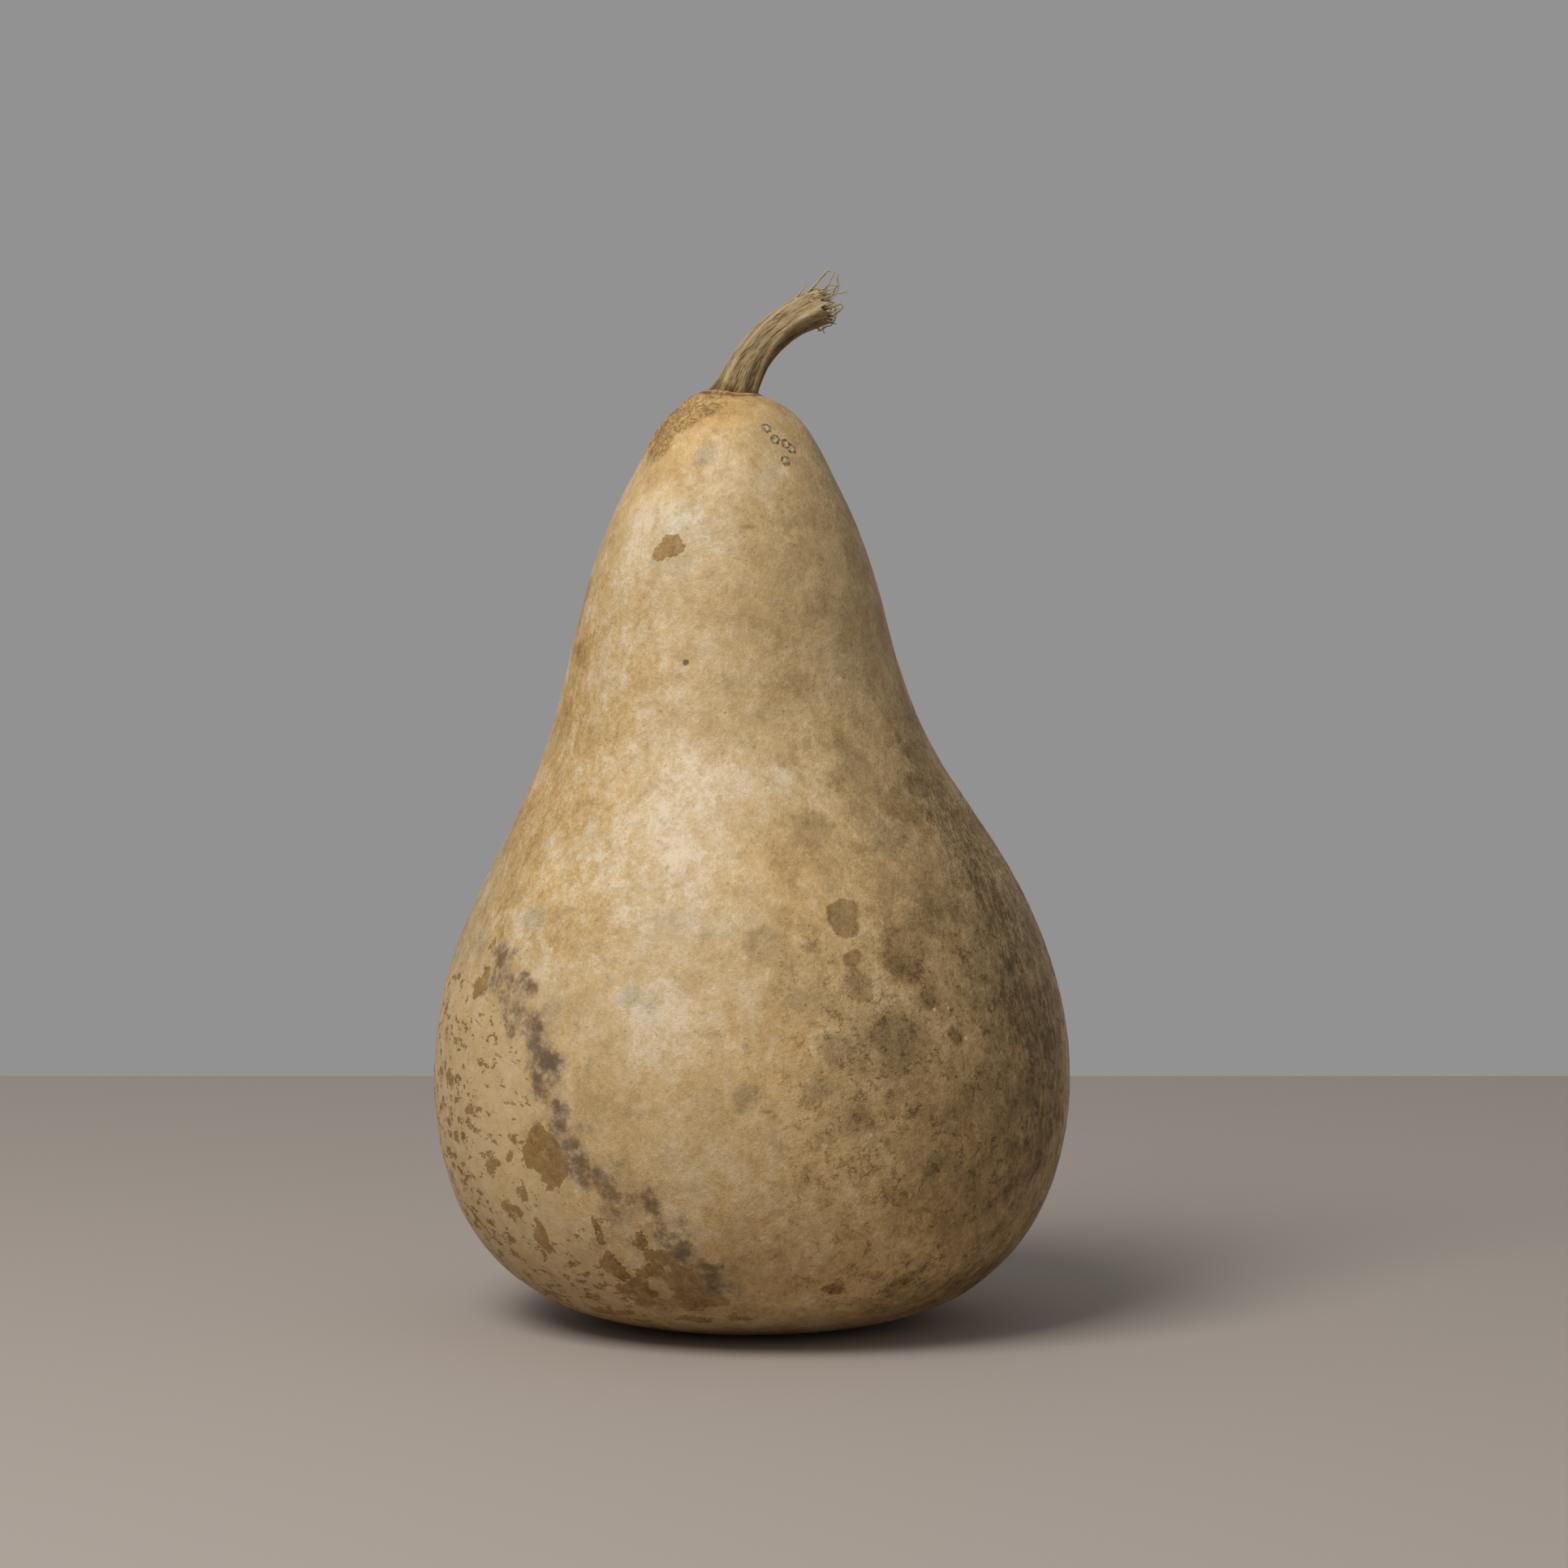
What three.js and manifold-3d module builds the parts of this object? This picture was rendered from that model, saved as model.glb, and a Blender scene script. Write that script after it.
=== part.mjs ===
// A dried pear-shaped hardshell gourd with its dry, bent stem.
//
// Millimetres, +Z up. The gourd stands on the small flat spot of its base. The origin
// is the middle of that spot, under the middle of the belly. The stem bends towards +X.

import * as THREE from "three";
import { mergeVertices } from "three/addons/utils/BufferGeometryUtils.js";
import Module from "manifold-3d";

// --- Fruit: four stretches of outline, stacked from the ground up ---------------------

const restRadius = 26; // flat spot that the gourd stands on
const bellyRadius = 85.3; // widest ring
const bellyRise = 64.5; // ground to the widest ring
const waistRadius = 47.9; // ring where belly runs into neck
const shoulderRise = 98.8; // widest ring to the waist ring
const capRadius = 26; // ring where neck runs into crown
const neckRise = 64.7; // waist ring to the cap ring
const crownRise = 20.6; // cap ring to the top of the crown
const frontToBack = 0.985; // depth of the fruit over its width

const restSlope = 2; // degrees that the base lifts at the edge of the flat spot
const waistSlope = 18.3; // degrees that the outline leans inwards at the waist ring
const capSlope = 28.2; // degrees that it leans inwards at the cap ring

const neckDrift = -4.9; // sideways growth of the neck, along X
const driftAbove = 46.8; // height above the widest ring where the drift begins
const driftRise = 71.9; // height that the drift takes to build up

// How far each stretch of outline holds its direction, over the length of its chord.
const bowlFullness = [0.44, 0.44];
const shoulderFullness = [0.43, 0.28];
const neckFullness = [0.42, 0.455];
const crownFullness = [0.285, 0.51];

const fruitSides = 64;
const bowlRings = 11;
const shoulderRings = 13;
const neckRings = 9;
const crownRings = 8;

// --- Stem: a shaft with a flared foot, bent over, with a torn end ----------------------

const stemRadius = 4.45; // shaft, between foot and tip
const footSpread = 2.7; // how much wider the foot is where it meets the crown
const footLength = 3.6; // length over which the foot narrows to a third of that
const tipSwell = 0.45; // how much thicker the torn end is
const footOffset = 0.2; // foot from the middle of the crown, sideways
const stemReach = 24.6; // foot to torn end, sideways
const stemHeight = 23; // crown to the middle of the torn end
const stemTurn = -1.6; // foot to torn end, back to front
const footSlope = 80; // degrees from level at which the stem leaves the crown
const tipSlope = 14; // degrees from level at the torn end
const footBow = 13; // how far the stem holds its first direction
const tipBow = 10; // how far it holds its last direction
const ribCount = 7;
const ribDepth = 0.32;
const footSunk = 4; // length of stem below the crown, which the seat cuts away
const seatGap = 0.3; // clearance between the foot and the skin of the crown

const stemSides = 28;
const stemRings = 26;

// --- Torn fibres at the end of the stem -------------------------------------------------

// A fibre's root lies inside the stem: how far behind the torn end, then how far back and
// up from the middle line as shares of the end's radius. Its route is [x, y, z] from there.
const fibres = [
  { radius: 0.42, root: [5.1, 0.08, 0.8], route: [[1.6, 0.2, 2.0], [3.5, 0.6, 4.2], [5.6, 0.9, 6.5]] },
  { radius: 0.34, root: [2.4, 0.29, 0.65], route: [[1.9, 0.6, 1.8], [3.5, 1.0, 4.1], [4.7, 0.8, 6.3]] },
  { radius: 0.3, root: [1.4, 0.04, 0.46], route: [[4.0, -0.2, 2.3], [5.1, -0.4, 4.4], [4.7, -0.6, 7.3]] },
  { radius: 0.34, root: [1.6, -0.2, 0.32], route: [[2.2, -0.4, 0.6], [4.9, -0.9, 1.8], [7.0, -1.3, 2.3]] },
  { radius: 0.34, root: [1.2, -0.2, -0.1], route: [[2.6, -0.4, 0.3], [4.7, -0.8, 1.1], [5.6, -0.9, 0.1]] },
  { radius: 0.34, root: [1.2, 0.04, -0.31], route: [[3.8, -0.2, 0.4], [3.9, -0.5, -1.4], [1.8, -0.8, -3.6]] },
];
const fibreSides = 6;
const fibreSteps = 6;

// --- Colours of the dry skin and the dry stalk -------------------------------------------

const skinColour = 0xb8935a;
const stalkColour = 0x8a7350;

const radians = THREE.MathUtils.degToRad;
const wasm = await Module();
wasm.setup();

// A closed solid from a three.js geometry, for joining and cutting.
function toSolid(geometry) {
  const bare = geometry.clone();
  bare.deleteAttribute("normal");
  bare.deleteAttribute("uv");
  const merged = mergeVertices(bare, 1e-4);
  const mesh = new wasm.Mesh({
    numProp: 3,
    vertProperties: new Float32Array(merged.attributes.position.array),
    triVerts: new Uint32Array(merged.index.array),
  });
  return new wasm.Manifold(mesh);
}

// The three.js geometry of a closed solid.
function toGeometry(solid) {
  const mesh = solid.getMesh();
  const geometry = new THREE.BufferGeometry();
  geometry.setAttribute("position", new THREE.BufferAttribute(mesh.vertProperties, 3));
  geometry.setIndex(new THREE.BufferAttribute(mesh.triVerts, 1));
  geometry.computeVertexNormals();
  return geometry;
}

// Moves every vertex of a geometry to where place(vertex) puts it.
function reshape(geometry, place) {
  const position = geometry.attributes.position;
  const vertex = new THREE.Vector3();
  for (let i = 0; i < position.count; i += 1) {
    vertex.fromBufferAttribute(position, i);
    place(vertex);
    position.setXYZ(i, vertex.x, vertex.y, vertex.z);
  }
  geometry.computeVertexNormals();
  return geometry;
}

// One stretch of outline in (radius, height), between two points with their directions.
function stretch(from, fromDegrees, to, toDegrees, fullness, rings) {
  const chord = from.distanceTo(to);
  const ahead = (degrees) => new THREE.Vector2(Math.cos(radians(degrees)), Math.sin(radians(degrees)));
  const curve = new THREE.CubicBezierCurve(
    from,
    from.clone().addScaledVector(ahead(fromDegrees), fullness[0] * chord),
    to.clone().addScaledVector(ahead(toDegrees), -fullness[1] * chord),
    to,
  );
  return curve.getSpacedPoints(rings);
}

// The fruit's outline in (radius, height), from the middle of the base to the crown.
function fruitOutline() {
  const rest = new THREE.Vector2(restRadius, 0);
  const belly = new THREE.Vector2(bellyRadius, bellyRise);
  const waist = new THREE.Vector2(waistRadius, belly.y + shoulderRise);
  const cap = new THREE.Vector2(capRadius, waist.y + neckRise);
  const crown = new THREE.Vector2(0, cap.y + crownRise);
  const upright = 90;
  const inwards = 180;
  return [
    new THREE.Vector2(0, 0),
    ...stretch(rest, restSlope, belly, upright, bowlFullness, bowlRings),
    ...stretch(belly, upright, waist, upright + waistSlope, shoulderFullness, shoulderRings).slice(1),
    ...stretch(waist, upright + waistSlope, cap, upright + capSlope, neckFullness, neckRings).slice(1),
    ...stretch(cap, upright + capSlope, crown, inwards, crownFullness, crownRings).slice(1),
  ];
}

const crownHeight = bellyRise + shoulderRise + neckRise + crownRise;

// The fruit's middle at a height: the neck has drifted to one side of the belly.
function driftAt(height) {
  const start = bellyRise + driftAbove;
  return neckDrift * THREE.MathUtils.smoothstep(height, start, start + driftRise);
}

function makeFruit() {
  const geometry = new THREE.LatheGeometry(fruitOutline(), fruitSides);
  geometry.rotateX(Math.PI / 2);
  return reshape(geometry, (vertex) => {
    vertex.x += driftAt(vertex.z);
    vertex.y *= frontToBack;
  });
}

// The middle line of the stem, from below the crown to the torn end.
function stemLine() {
  const middle = neckDrift + footOffset;
  const foot = new THREE.Vector3(middle, 0, crownHeight - footSunk);
  const tip = new THREE.Vector3(middle + stemReach, stemTurn, crownHeight + stemHeight);
  const footAhead = new THREE.Vector3(Math.cos(radians(footSlope)), 0, Math.sin(radians(footSlope)));
  const tipAhead = new THREE.Vector3(Math.cos(radians(tipSlope)), 0, Math.sin(radians(tipSlope)));
  return new THREE.CubicBezierCurve3(
    foot,
    foot.clone().addScaledVector(footAhead, footBow + footSunk),
    tip.clone().addScaledVector(tipAhead, -tipBow),
    tip,
  );
}

// The stem's radius at a distance along its middle line from the crown.
function stemRadiusAt(distance, length) {
  const foot = footSpread * Math.exp(-Math.max(distance, 0) / footLength);
  const tip = tipSwell * THREE.MathUtils.smoothstep(distance, 0.6 * length, length);
  return stemRadius + foot + tip;
}

// The stem's shaft, turned straight along Z, then fluted and bent along its middle line.
function makeShaft() {
  const line = stemLine();
  const length = line.getLength();
  const outline = [new THREE.Vector2(0, 0)];
  for (let ring = 0; ring <= stemRings; ring += 1) {
    const along = (ring / stemRings) * length;
    outline.push(new THREE.Vector2(stemRadiusAt(along - footSunk, length - footSunk), along));
  }
  outline.push(new THREE.Vector2(0, length - ribDepth));
  const geometry = new THREE.LatheGeometry(outline, stemSides);
  geometry.rotateX(Math.PI / 2);
  const forward = new THREE.Vector3(0, 1, 0);
  return reshape(geometry, (vertex) => {
    const turn = Math.atan2(vertex.y, vertex.x);
    const flute = 1 - (ribDepth / stemRadius) * (0.5 + 0.5 * Math.cos(ribCount * turn));
    const middle = line.getPointAt(THREE.MathUtils.clamp(vertex.z / length, 0, 1));
    const ahead = line.getTangentAt(THREE.MathUtils.clamp(vertex.z / length, 0, 1));
    const across = new THREE.Vector3().crossVectors(forward, ahead).normalize();
    const depth = new THREE.Vector3().crossVectors(ahead, across);
    middle.addScaledVector(across, vertex.x * flute);
    middle.addScaledVector(depth, vertex.y * flute);
    vertex.copy(middle);
  });
}

// One torn fibre, a thin tube from its root inside the stem along its route.
function makeFibre({ radius, root: [behind, back, up], route }) {
  const section = new THREE.Shape();
  for (let side = 0; side < fibreSides; side += 1) {
    const turn = (side / fibreSides) * 2 * Math.PI;
    const x = radius * Math.cos(turn);
    const y = radius * Math.sin(turn);
    if (side === 0) section.moveTo(x, y);
    else section.lineTo(x, y);
  }
  section.closePath();
  const line = stemLine();
  const start = line.getPointAt(1 - behind / line.getLength());
  start.y += back * (stemRadius + tipSwell);
  start.z += up * (stemRadius + tipSwell);
  const points = [start, ...route.map((offset) => start.clone().add(new THREE.Vector3(...offset)))];
  return new THREE.ExtrudeGeometry(section, {
    steps: fibreSteps,
    extrudePath: new THREE.CatmullRomCurve3(points),
  });
}

// The stem: shaft and fibres joined, with a seat cut to the shape of the crown.
function makeStem(fruit) {
  const seat = toSolid(fruit).translate([0, 0, seatGap]);
  const shaft = toSolid(makeShaft()).subtract(seat);
  const stem = fibres.reduce((solid, fibre) => solid.add(toSolid(makeFibre(fibre))), shaft);
  return toGeometry(stem);
}

function named(name, geometry, colour, roughness) {
  const material = new THREE.MeshStandardMaterial({ color: colour, roughness, metalness: 0 });
  const mesh = new THREE.Mesh(geometry, material);
  mesh.name = name;
  return mesh;
}

const fruitGeometry = makeFruit();
const gourd = new THREE.Group();
gourd.add(named("fruit", fruitGeometry, skinColour, 0.5));
gourd.add(named("stem", makeStem(fruitGeometry), stalkColour, 0.85));

export default gourd;
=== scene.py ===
"""A dried pear-shaped hardshell gourd: mottled, stained skin and a dry, ribbed, torn stem.

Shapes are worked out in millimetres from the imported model's rings and set down in metres. A place on
the skin is an azimuth in degrees, from the front (-Y) towards +X, and a height above the ground.
"""

import math

import bpy
import numpy as np
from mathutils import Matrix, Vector, noise


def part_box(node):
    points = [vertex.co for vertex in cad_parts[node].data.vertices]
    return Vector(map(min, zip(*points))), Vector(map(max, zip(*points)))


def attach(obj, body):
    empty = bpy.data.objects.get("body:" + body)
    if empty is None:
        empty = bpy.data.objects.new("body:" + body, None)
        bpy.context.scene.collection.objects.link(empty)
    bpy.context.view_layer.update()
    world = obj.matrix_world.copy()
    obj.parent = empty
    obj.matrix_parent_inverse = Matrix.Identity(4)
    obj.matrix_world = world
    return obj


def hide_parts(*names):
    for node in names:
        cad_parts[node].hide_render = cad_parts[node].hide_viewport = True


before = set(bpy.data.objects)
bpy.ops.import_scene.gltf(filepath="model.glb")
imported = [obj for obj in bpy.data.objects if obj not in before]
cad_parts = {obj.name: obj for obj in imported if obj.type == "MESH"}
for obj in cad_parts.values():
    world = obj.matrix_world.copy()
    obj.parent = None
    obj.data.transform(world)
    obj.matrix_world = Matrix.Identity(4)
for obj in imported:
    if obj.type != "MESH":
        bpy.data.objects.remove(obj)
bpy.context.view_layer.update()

MM = 0.001

# --- Sizes of the skin, in mm ----------------------------------------------------------

SIDES = 336
ROW_GAP = 1.36  # between rows of the skin, along the outline
CROWN_ROW_GAP = 0.72  # near the stem, where the small marks are
CROWN_SPAN = 44.0  # length of outline with close rows
BASE_ROWS = 9
SCAR_RADIUS = 6.5  # blossom scar in the middle of the base
SCAR_DEPTH = 1.2
POLE_GAP = 0.5  # least distance from the last row to the middle of the crown
CROWN_FROM = 200.0  # height above which marks round the stem's foot may lie

# How far each feature stands out of the skin or sinks into it, in mm.
FLANK_RIDGES = 0.42
BARK_RIDGES = 0.32
PATCH_STEP = 0.1
PEELED_STEP = 0.12
CREASE_DEPTH = 0.16
RING_HEIGHT = 0.16
PIT_DEPTH = 0.9

# The skin's tone and warmth before its zones are laid on, and those the peeled zone tends to.
START_TONE, START_WARMTH = 0.72, 0.5
PEELED_TONE, PEELED_WARMTH = 0.765, 0.44
HIDDEN_SPOTS = 46  # scattered over the back and the sides
HIDDEN_SPOTS_SEED = 7
RING_RADIUS = 1.4
PIT_HALF_SIZES = (1.15, 0.85)
SEAM_RADIUS = 7.3  # of the dark seam round the stem's foot
SEAM_WIDTH = 0.8
OUTSIDE = -9.0  # distance inside a mark, where no mark is near
FAR = 99.0  # distance from a line, before any line is measured

# --- Sizes of the stem, in mm ----------------------------------------------------------

FOOT_OFFSET = 0.2  # foot from the middle of the crown, sideways
STEM_REACH = 24.6  # foot to torn end, sideways
STEM_TURN = -1.6  # foot to torn end, back to front
STEM_HEIGHT = 23.0  # crown to the middle of the torn end
FOOT_SLOPE = 80.0  # degrees from level at which the stem leaves the crown
TIP_SLOPE = 14.0
FOOT_BOW = 13.0
TIP_BOW = 10.0
FOOT_SUNK = 4.0
STEM_RADIUS = 4.65
FOOT_SPREAD = 0.85
FOOT_LENGTH = 9.0
ROOT_SPREAD = 0.6  # the last, widest part of the flare
ROOT_LENGTH = 1.8
TIP_SWELL = 0.45
GROOVE_DEPTH = 0.13
STRAND_DEPTH = 0.09
LUMP_DEPTH = 0.14
RIB_LIFT = 0.85  # share of a rib's height that stands out
RIB_BASE = 0.35  # how far the surface between the ribs lies in
TORN_LENGTH = 5.5  # of the jagged stretch before the torn end
TORN_DEPTH = 2.2
SHAFT_SIDES = 168
SHAFT_RINGS = 236
CURVE_POINTS = 800


# --- Small helpers ---------------------------------------------------------------------


def smoothstep(low, high, value):
    """0 below low, 1 above high, smooth between."""
    share = np.clip((value - low) / (high - low), 0, 1)
    return share * share * (3 - 2 * share)


def fractal(points, size, octaves=3, seed=0.0):
    """Smooth random values of about -1 to 1 at points, with features about size across."""
    shift = Vector((seed * 17.3, seed * 5.1, seed * 9.7))
    flat = (points / size).reshape(-1, 3)
    found = [noise.fractal(Vector(p) + shift, 1.0, 2.0, octaves) for p in flat]
    return np.array(found).reshape(points.shape[:-1])


def natural_spline(stations, values, wanted):
    """A smooth curve through values at stations, read at the wanted stations."""
    gaps = np.diff(stations)
    last = len(stations) - 1
    matrix = np.eye(last + 1)
    right = np.zeros(values.shape)
    slopes = np.diff(values, axis=0) / gaps[:, None]
    for i in range(1, last):
        matrix[i, i - 1 : i + 2] = gaps[i - 1], 2 * (gaps[i - 1] + gaps[i]), gaps[i]
        right[i] = 6 * (slopes[i] - slopes[i - 1])
    bends = np.linalg.solve(matrix, right)
    i = np.clip(np.searchsorted(stations, wanted) - 1, 0, last - 1)
    gap = gaps[i][:, None]
    after = (wanted - stations[i])[:, None]
    before = gap - after
    return (
        (bends[i] * before**3 + bends[i + 1] * after**3) / (6 * gap)
        + (values[i] / gap - bends[i] * gap / 6) * before
        + (values[i + 1] / gap - bends[i + 1] * gap / 6) * after
    )


def grid_mesh(name, places, uv_rows, ends):
    """A closed piece from rings of points, in mm. places is (rows, sides, 3); ends are two poles."""
    rows, sides, _ = places.shape
    points = np.vstack([places.reshape(-1, 3), ends]) * MM
    first_pole = rows * sides
    faces = []
    maps = []
    for i in range(rows - 1):
        low, high = uv_rows[i], uv_rows[i + 1]
        for j in range(sides):
            k = (j + 1) % sides
            faces.append((i * sides + j, i * sides + k, (i + 1) * sides + k, (i + 1) * sides + j))
            left, right = j / sides, (j + 1) / sides
            maps += [(left, low), (right, low), (right, high), (left, high)]
    top = (rows - 1) * sides
    for j in range(sides):
        k = (j + 1) % sides
        middle = (j + 0.5) / sides
        faces.append((k, j, first_pole))
        maps += [((j + 1) / sides, uv_rows[0]), (j / sides, uv_rows[0]), (middle, 0.0)]
        faces.append((top + j, top + k, first_pole + 1))
        maps += [(j / sides, uv_rows[-1]), ((j + 1) / sides, uv_rows[-1]), (middle, 1.0)]
    mesh = bpy.data.meshes.new(name)
    mesh.from_pydata(points.tolist(), [], faces)
    layer = mesh.uv_layers.new(name="OFBake")
    layer.data.foreach_set("uv", np.array(maps, np.float32).ravel())
    mesh.polygons.foreach_set("use_smooth", np.ones(len(faces), bool))
    mesh.update()
    return add_object(name, mesh)


def add_object(name, mesh):
    made = bpy.data.objects.new(name, mesh)
    bpy.context.scene.collection.objects.link(made)
    return made


def paint(piece, name, values, poles):
    """Stores one number for each point of a grid piece, for its material to read."""
    flat = np.concatenate([values.ravel(), poles]).astype(np.float32)
    made = piece.data.attributes.new(name, "FLOAT", "POINT")
    made.data.foreach_set("value", flat)


def store_places(piece, name, places, poles):
    """Stores one place in metres, given in mm, for each point of a piece."""
    flat = np.vstack([places.reshape(-1, 3), poles]) * MM
    made = piece.data.attributes.new(name, "FLOAT_VECTOR", "POINT")
    made.data.foreach_set("vector", flat.astype(np.float32).ravel())


# --- The skin's outline and grid -------------------------------------------------------


def cad_rings():
    """Height, middle across and radius across of each ring of the CAD fruit, from the ground up."""
    points = np.array([v.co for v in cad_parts["fruit"].data.vertices]) / MM
    rings = []
    for height in np.unique(points[:, 2].round(2)):
        across = points[abs(points[:, 2] - height) < 0.02, 0]
        rings.append((height, (across.max() + across.min()) / 2, np.ptp(across) / 2))
    return np.array(rings)


class Skin:
    """The grid of places on the gourd's skin, with what its shape and its stains need."""

    def __init__(self):
        rings = cad_rings()
        low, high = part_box("fruit")
        self.depth = (high.y - low.y) / (high.x - low.x)
        # Rings mirrored past the crown make the outline level where it meets the axis.
        beyond = rings[-4:-1][::-1] * (1, 1, -1)
        line = np.vstack([rings, beyond])
        steps = np.hypot(np.diff(line[:, 0]), np.diff(line[:, 2]))
        stations = np.concatenate([[0], np.cumsum(steps)])
        self.length = stations[len(rings) - 1]
        lower = np.arange(0, self.length - CROWN_SPAN, ROW_GAP)
        upper = np.arange(self.length - CROWN_SPAN, self.length - POLE_GAP, CROWN_ROW_GAP)
        rows = np.concatenate([lower, upper])
        outline = natural_spline(stations, line, rows)
        rest = rings[0, 2]
        shares = np.linspace(0.08, 1, BASE_ROWS, endpoint=False)
        base = np.stack([np.zeros(BASE_ROWS), np.zeros(BASE_ROWS), rest * shares], -1)
        outline = np.vstack([base, outline])
        self.along = np.concatenate([rest * (shares - 1), rows])[:, None]
        self.height, self.middle, self.radius = (outline[:, i][:, None] for i in range(3))
        self.height = np.maximum(self.height, 0)
        self.turn = np.radians(np.arange(SIDES) * 360 / SIDES - 180)[None, :]
        self.azimuth = np.degrees(self.turn)
        self.top = rings[-1, 0]
        self.top_middle = rings[-1, 1]
        self.places = self.on_outline(self.height, self.middle, self.radius)
        foot = self.places[..., :2] - (self.top_middle + FOOT_OFFSET, 0)
        self.from_stem = np.hypot(foot[..., 0], foot[..., 1])
        # Rows of the bake map, between the poles at 0 and 1.
        run = (self.along - self.along[0]).ravel()
        self.uv_rows = (run + 2) / (self.length - self.along[0, 0] + 2.6)

    def on_outline(self, height, middle, radius):
        across = middle + radius * np.sin(self.turn)
        back = -self.depth * radius * np.cos(self.turn)
        return np.stack([across, back, height + 0 * across], -1)

    def normals(self):
        round_about = np.roll(self.places, -1, 1) - np.roll(self.places, 1, 1)
        upwards = np.gradient(self.places, axis=0)
        found = np.cross(round_about, upwards)
        return found / np.linalg.norm(found, axis=-1, keepdims=True)

    def offsets(self, azimuth, height):
        """Distances in mm on the skin from one place: round to the right, and up the outline."""
        turn = (self.azimuth - azimuth + 180) % 360 - 180
        climb = self.along - np.interp(height, self.height.ravel(), self.along.ravel())
        return np.radians(turn) * self.radius, climb + 0 * turn


skin = Skin()


# --- Camera, lamp and floor ------------------------------------------------------------

LENS = 128.8  # focal length and sensor width in mm; all else here is in metres
SENSOR_WIDTH = 36.0
CAMERA_AIM = Vector((0.0088, 0, 0.144))
CAMERA_FROM_AIM = Vector((0, -1.5, 0.106))
LAMP_AIM = Vector((0, 0, 0.12))
LAMP_AZIMUTH, LAMP_ELEVATION = -38, 50
LAMP_DISTANCE = 1.6
LAMP_SIZE = 0.8
LAMP_POWER = 21.0
FLOOR_HALF = 0.53
FLOOR_COLOUR = (0.40, 0.345, 0.30, 1)
FLOOR_ROUGHNESS = 0.75
SKY_COLOUR = (0.29, 0.288, 0.29, 1)


def make_camera():
    camera = bpy.data.cameras.new("camera")
    camera.lens = LENS
    camera.sensor_width = SENSOR_WIDTH
    made = add_object("camera", camera)
    made.location = CAMERA_AIM + CAMERA_FROM_AIM
    made.rotation_euler = (CAMERA_AIM - made.location).to_track_quat("-Z", "Y").to_euler()
    bpy.context.scene.camera = made


def make_lamp():
    """One large square lamp, up on the left, that faces the middle of the gourd."""
    lamp = bpy.data.lights.new("key", "AREA")
    lamp.size = LAMP_SIZE
    lamp.energy = LAMP_POWER
    made = add_object("key", lamp)
    turn, rise = math.radians(LAMP_AZIMUTH), math.radians(LAMP_ELEVATION)
    away = Vector((math.sin(turn) * math.cos(rise), -math.cos(turn) * math.cos(rise), math.sin(rise)))
    made.location = LAMP_AIM + away * LAMP_DISTANCE
    made.rotation_euler = (-away).to_track_quat("-Z", "Y").to_euler()


def make_floor():
    mesh = bpy.data.meshes.new("floor")
    corners = [(x * FLOOR_HALF, y * FLOOR_HALF, 0) for x, y in ((-1, -1), (1, -1), (1, 1), (-1, 1))]
    mesh.from_pydata(corners, [], [(0, 1, 2, 3)])
    floor = add_object("floor", mesh)
    material = bpy.data.materials.new("floor")
    material.use_nodes = True
    shader = material.node_tree.nodes["Principled BSDF"]
    shader.inputs["Base Color"].default_value = FLOOR_COLOUR
    shader.inputs["Roughness"].default_value = FLOOR_ROUGHNESS
    mesh.materials.append(material)


def make_stage():
    make_camera()
    make_lamp()
    make_floor()
    world = bpy.data.worlds.new("studio")
    world.use_nodes = True
    world.node_tree.nodes["Background"].inputs["Color"].default_value = SKY_COLOUR
    bpy.context.scene.world = world
    bpy.context.scene.view_settings.view_transform = "Standard"


make_stage()

# --- Marks on the skin ------------------------------------------------------------------

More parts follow.
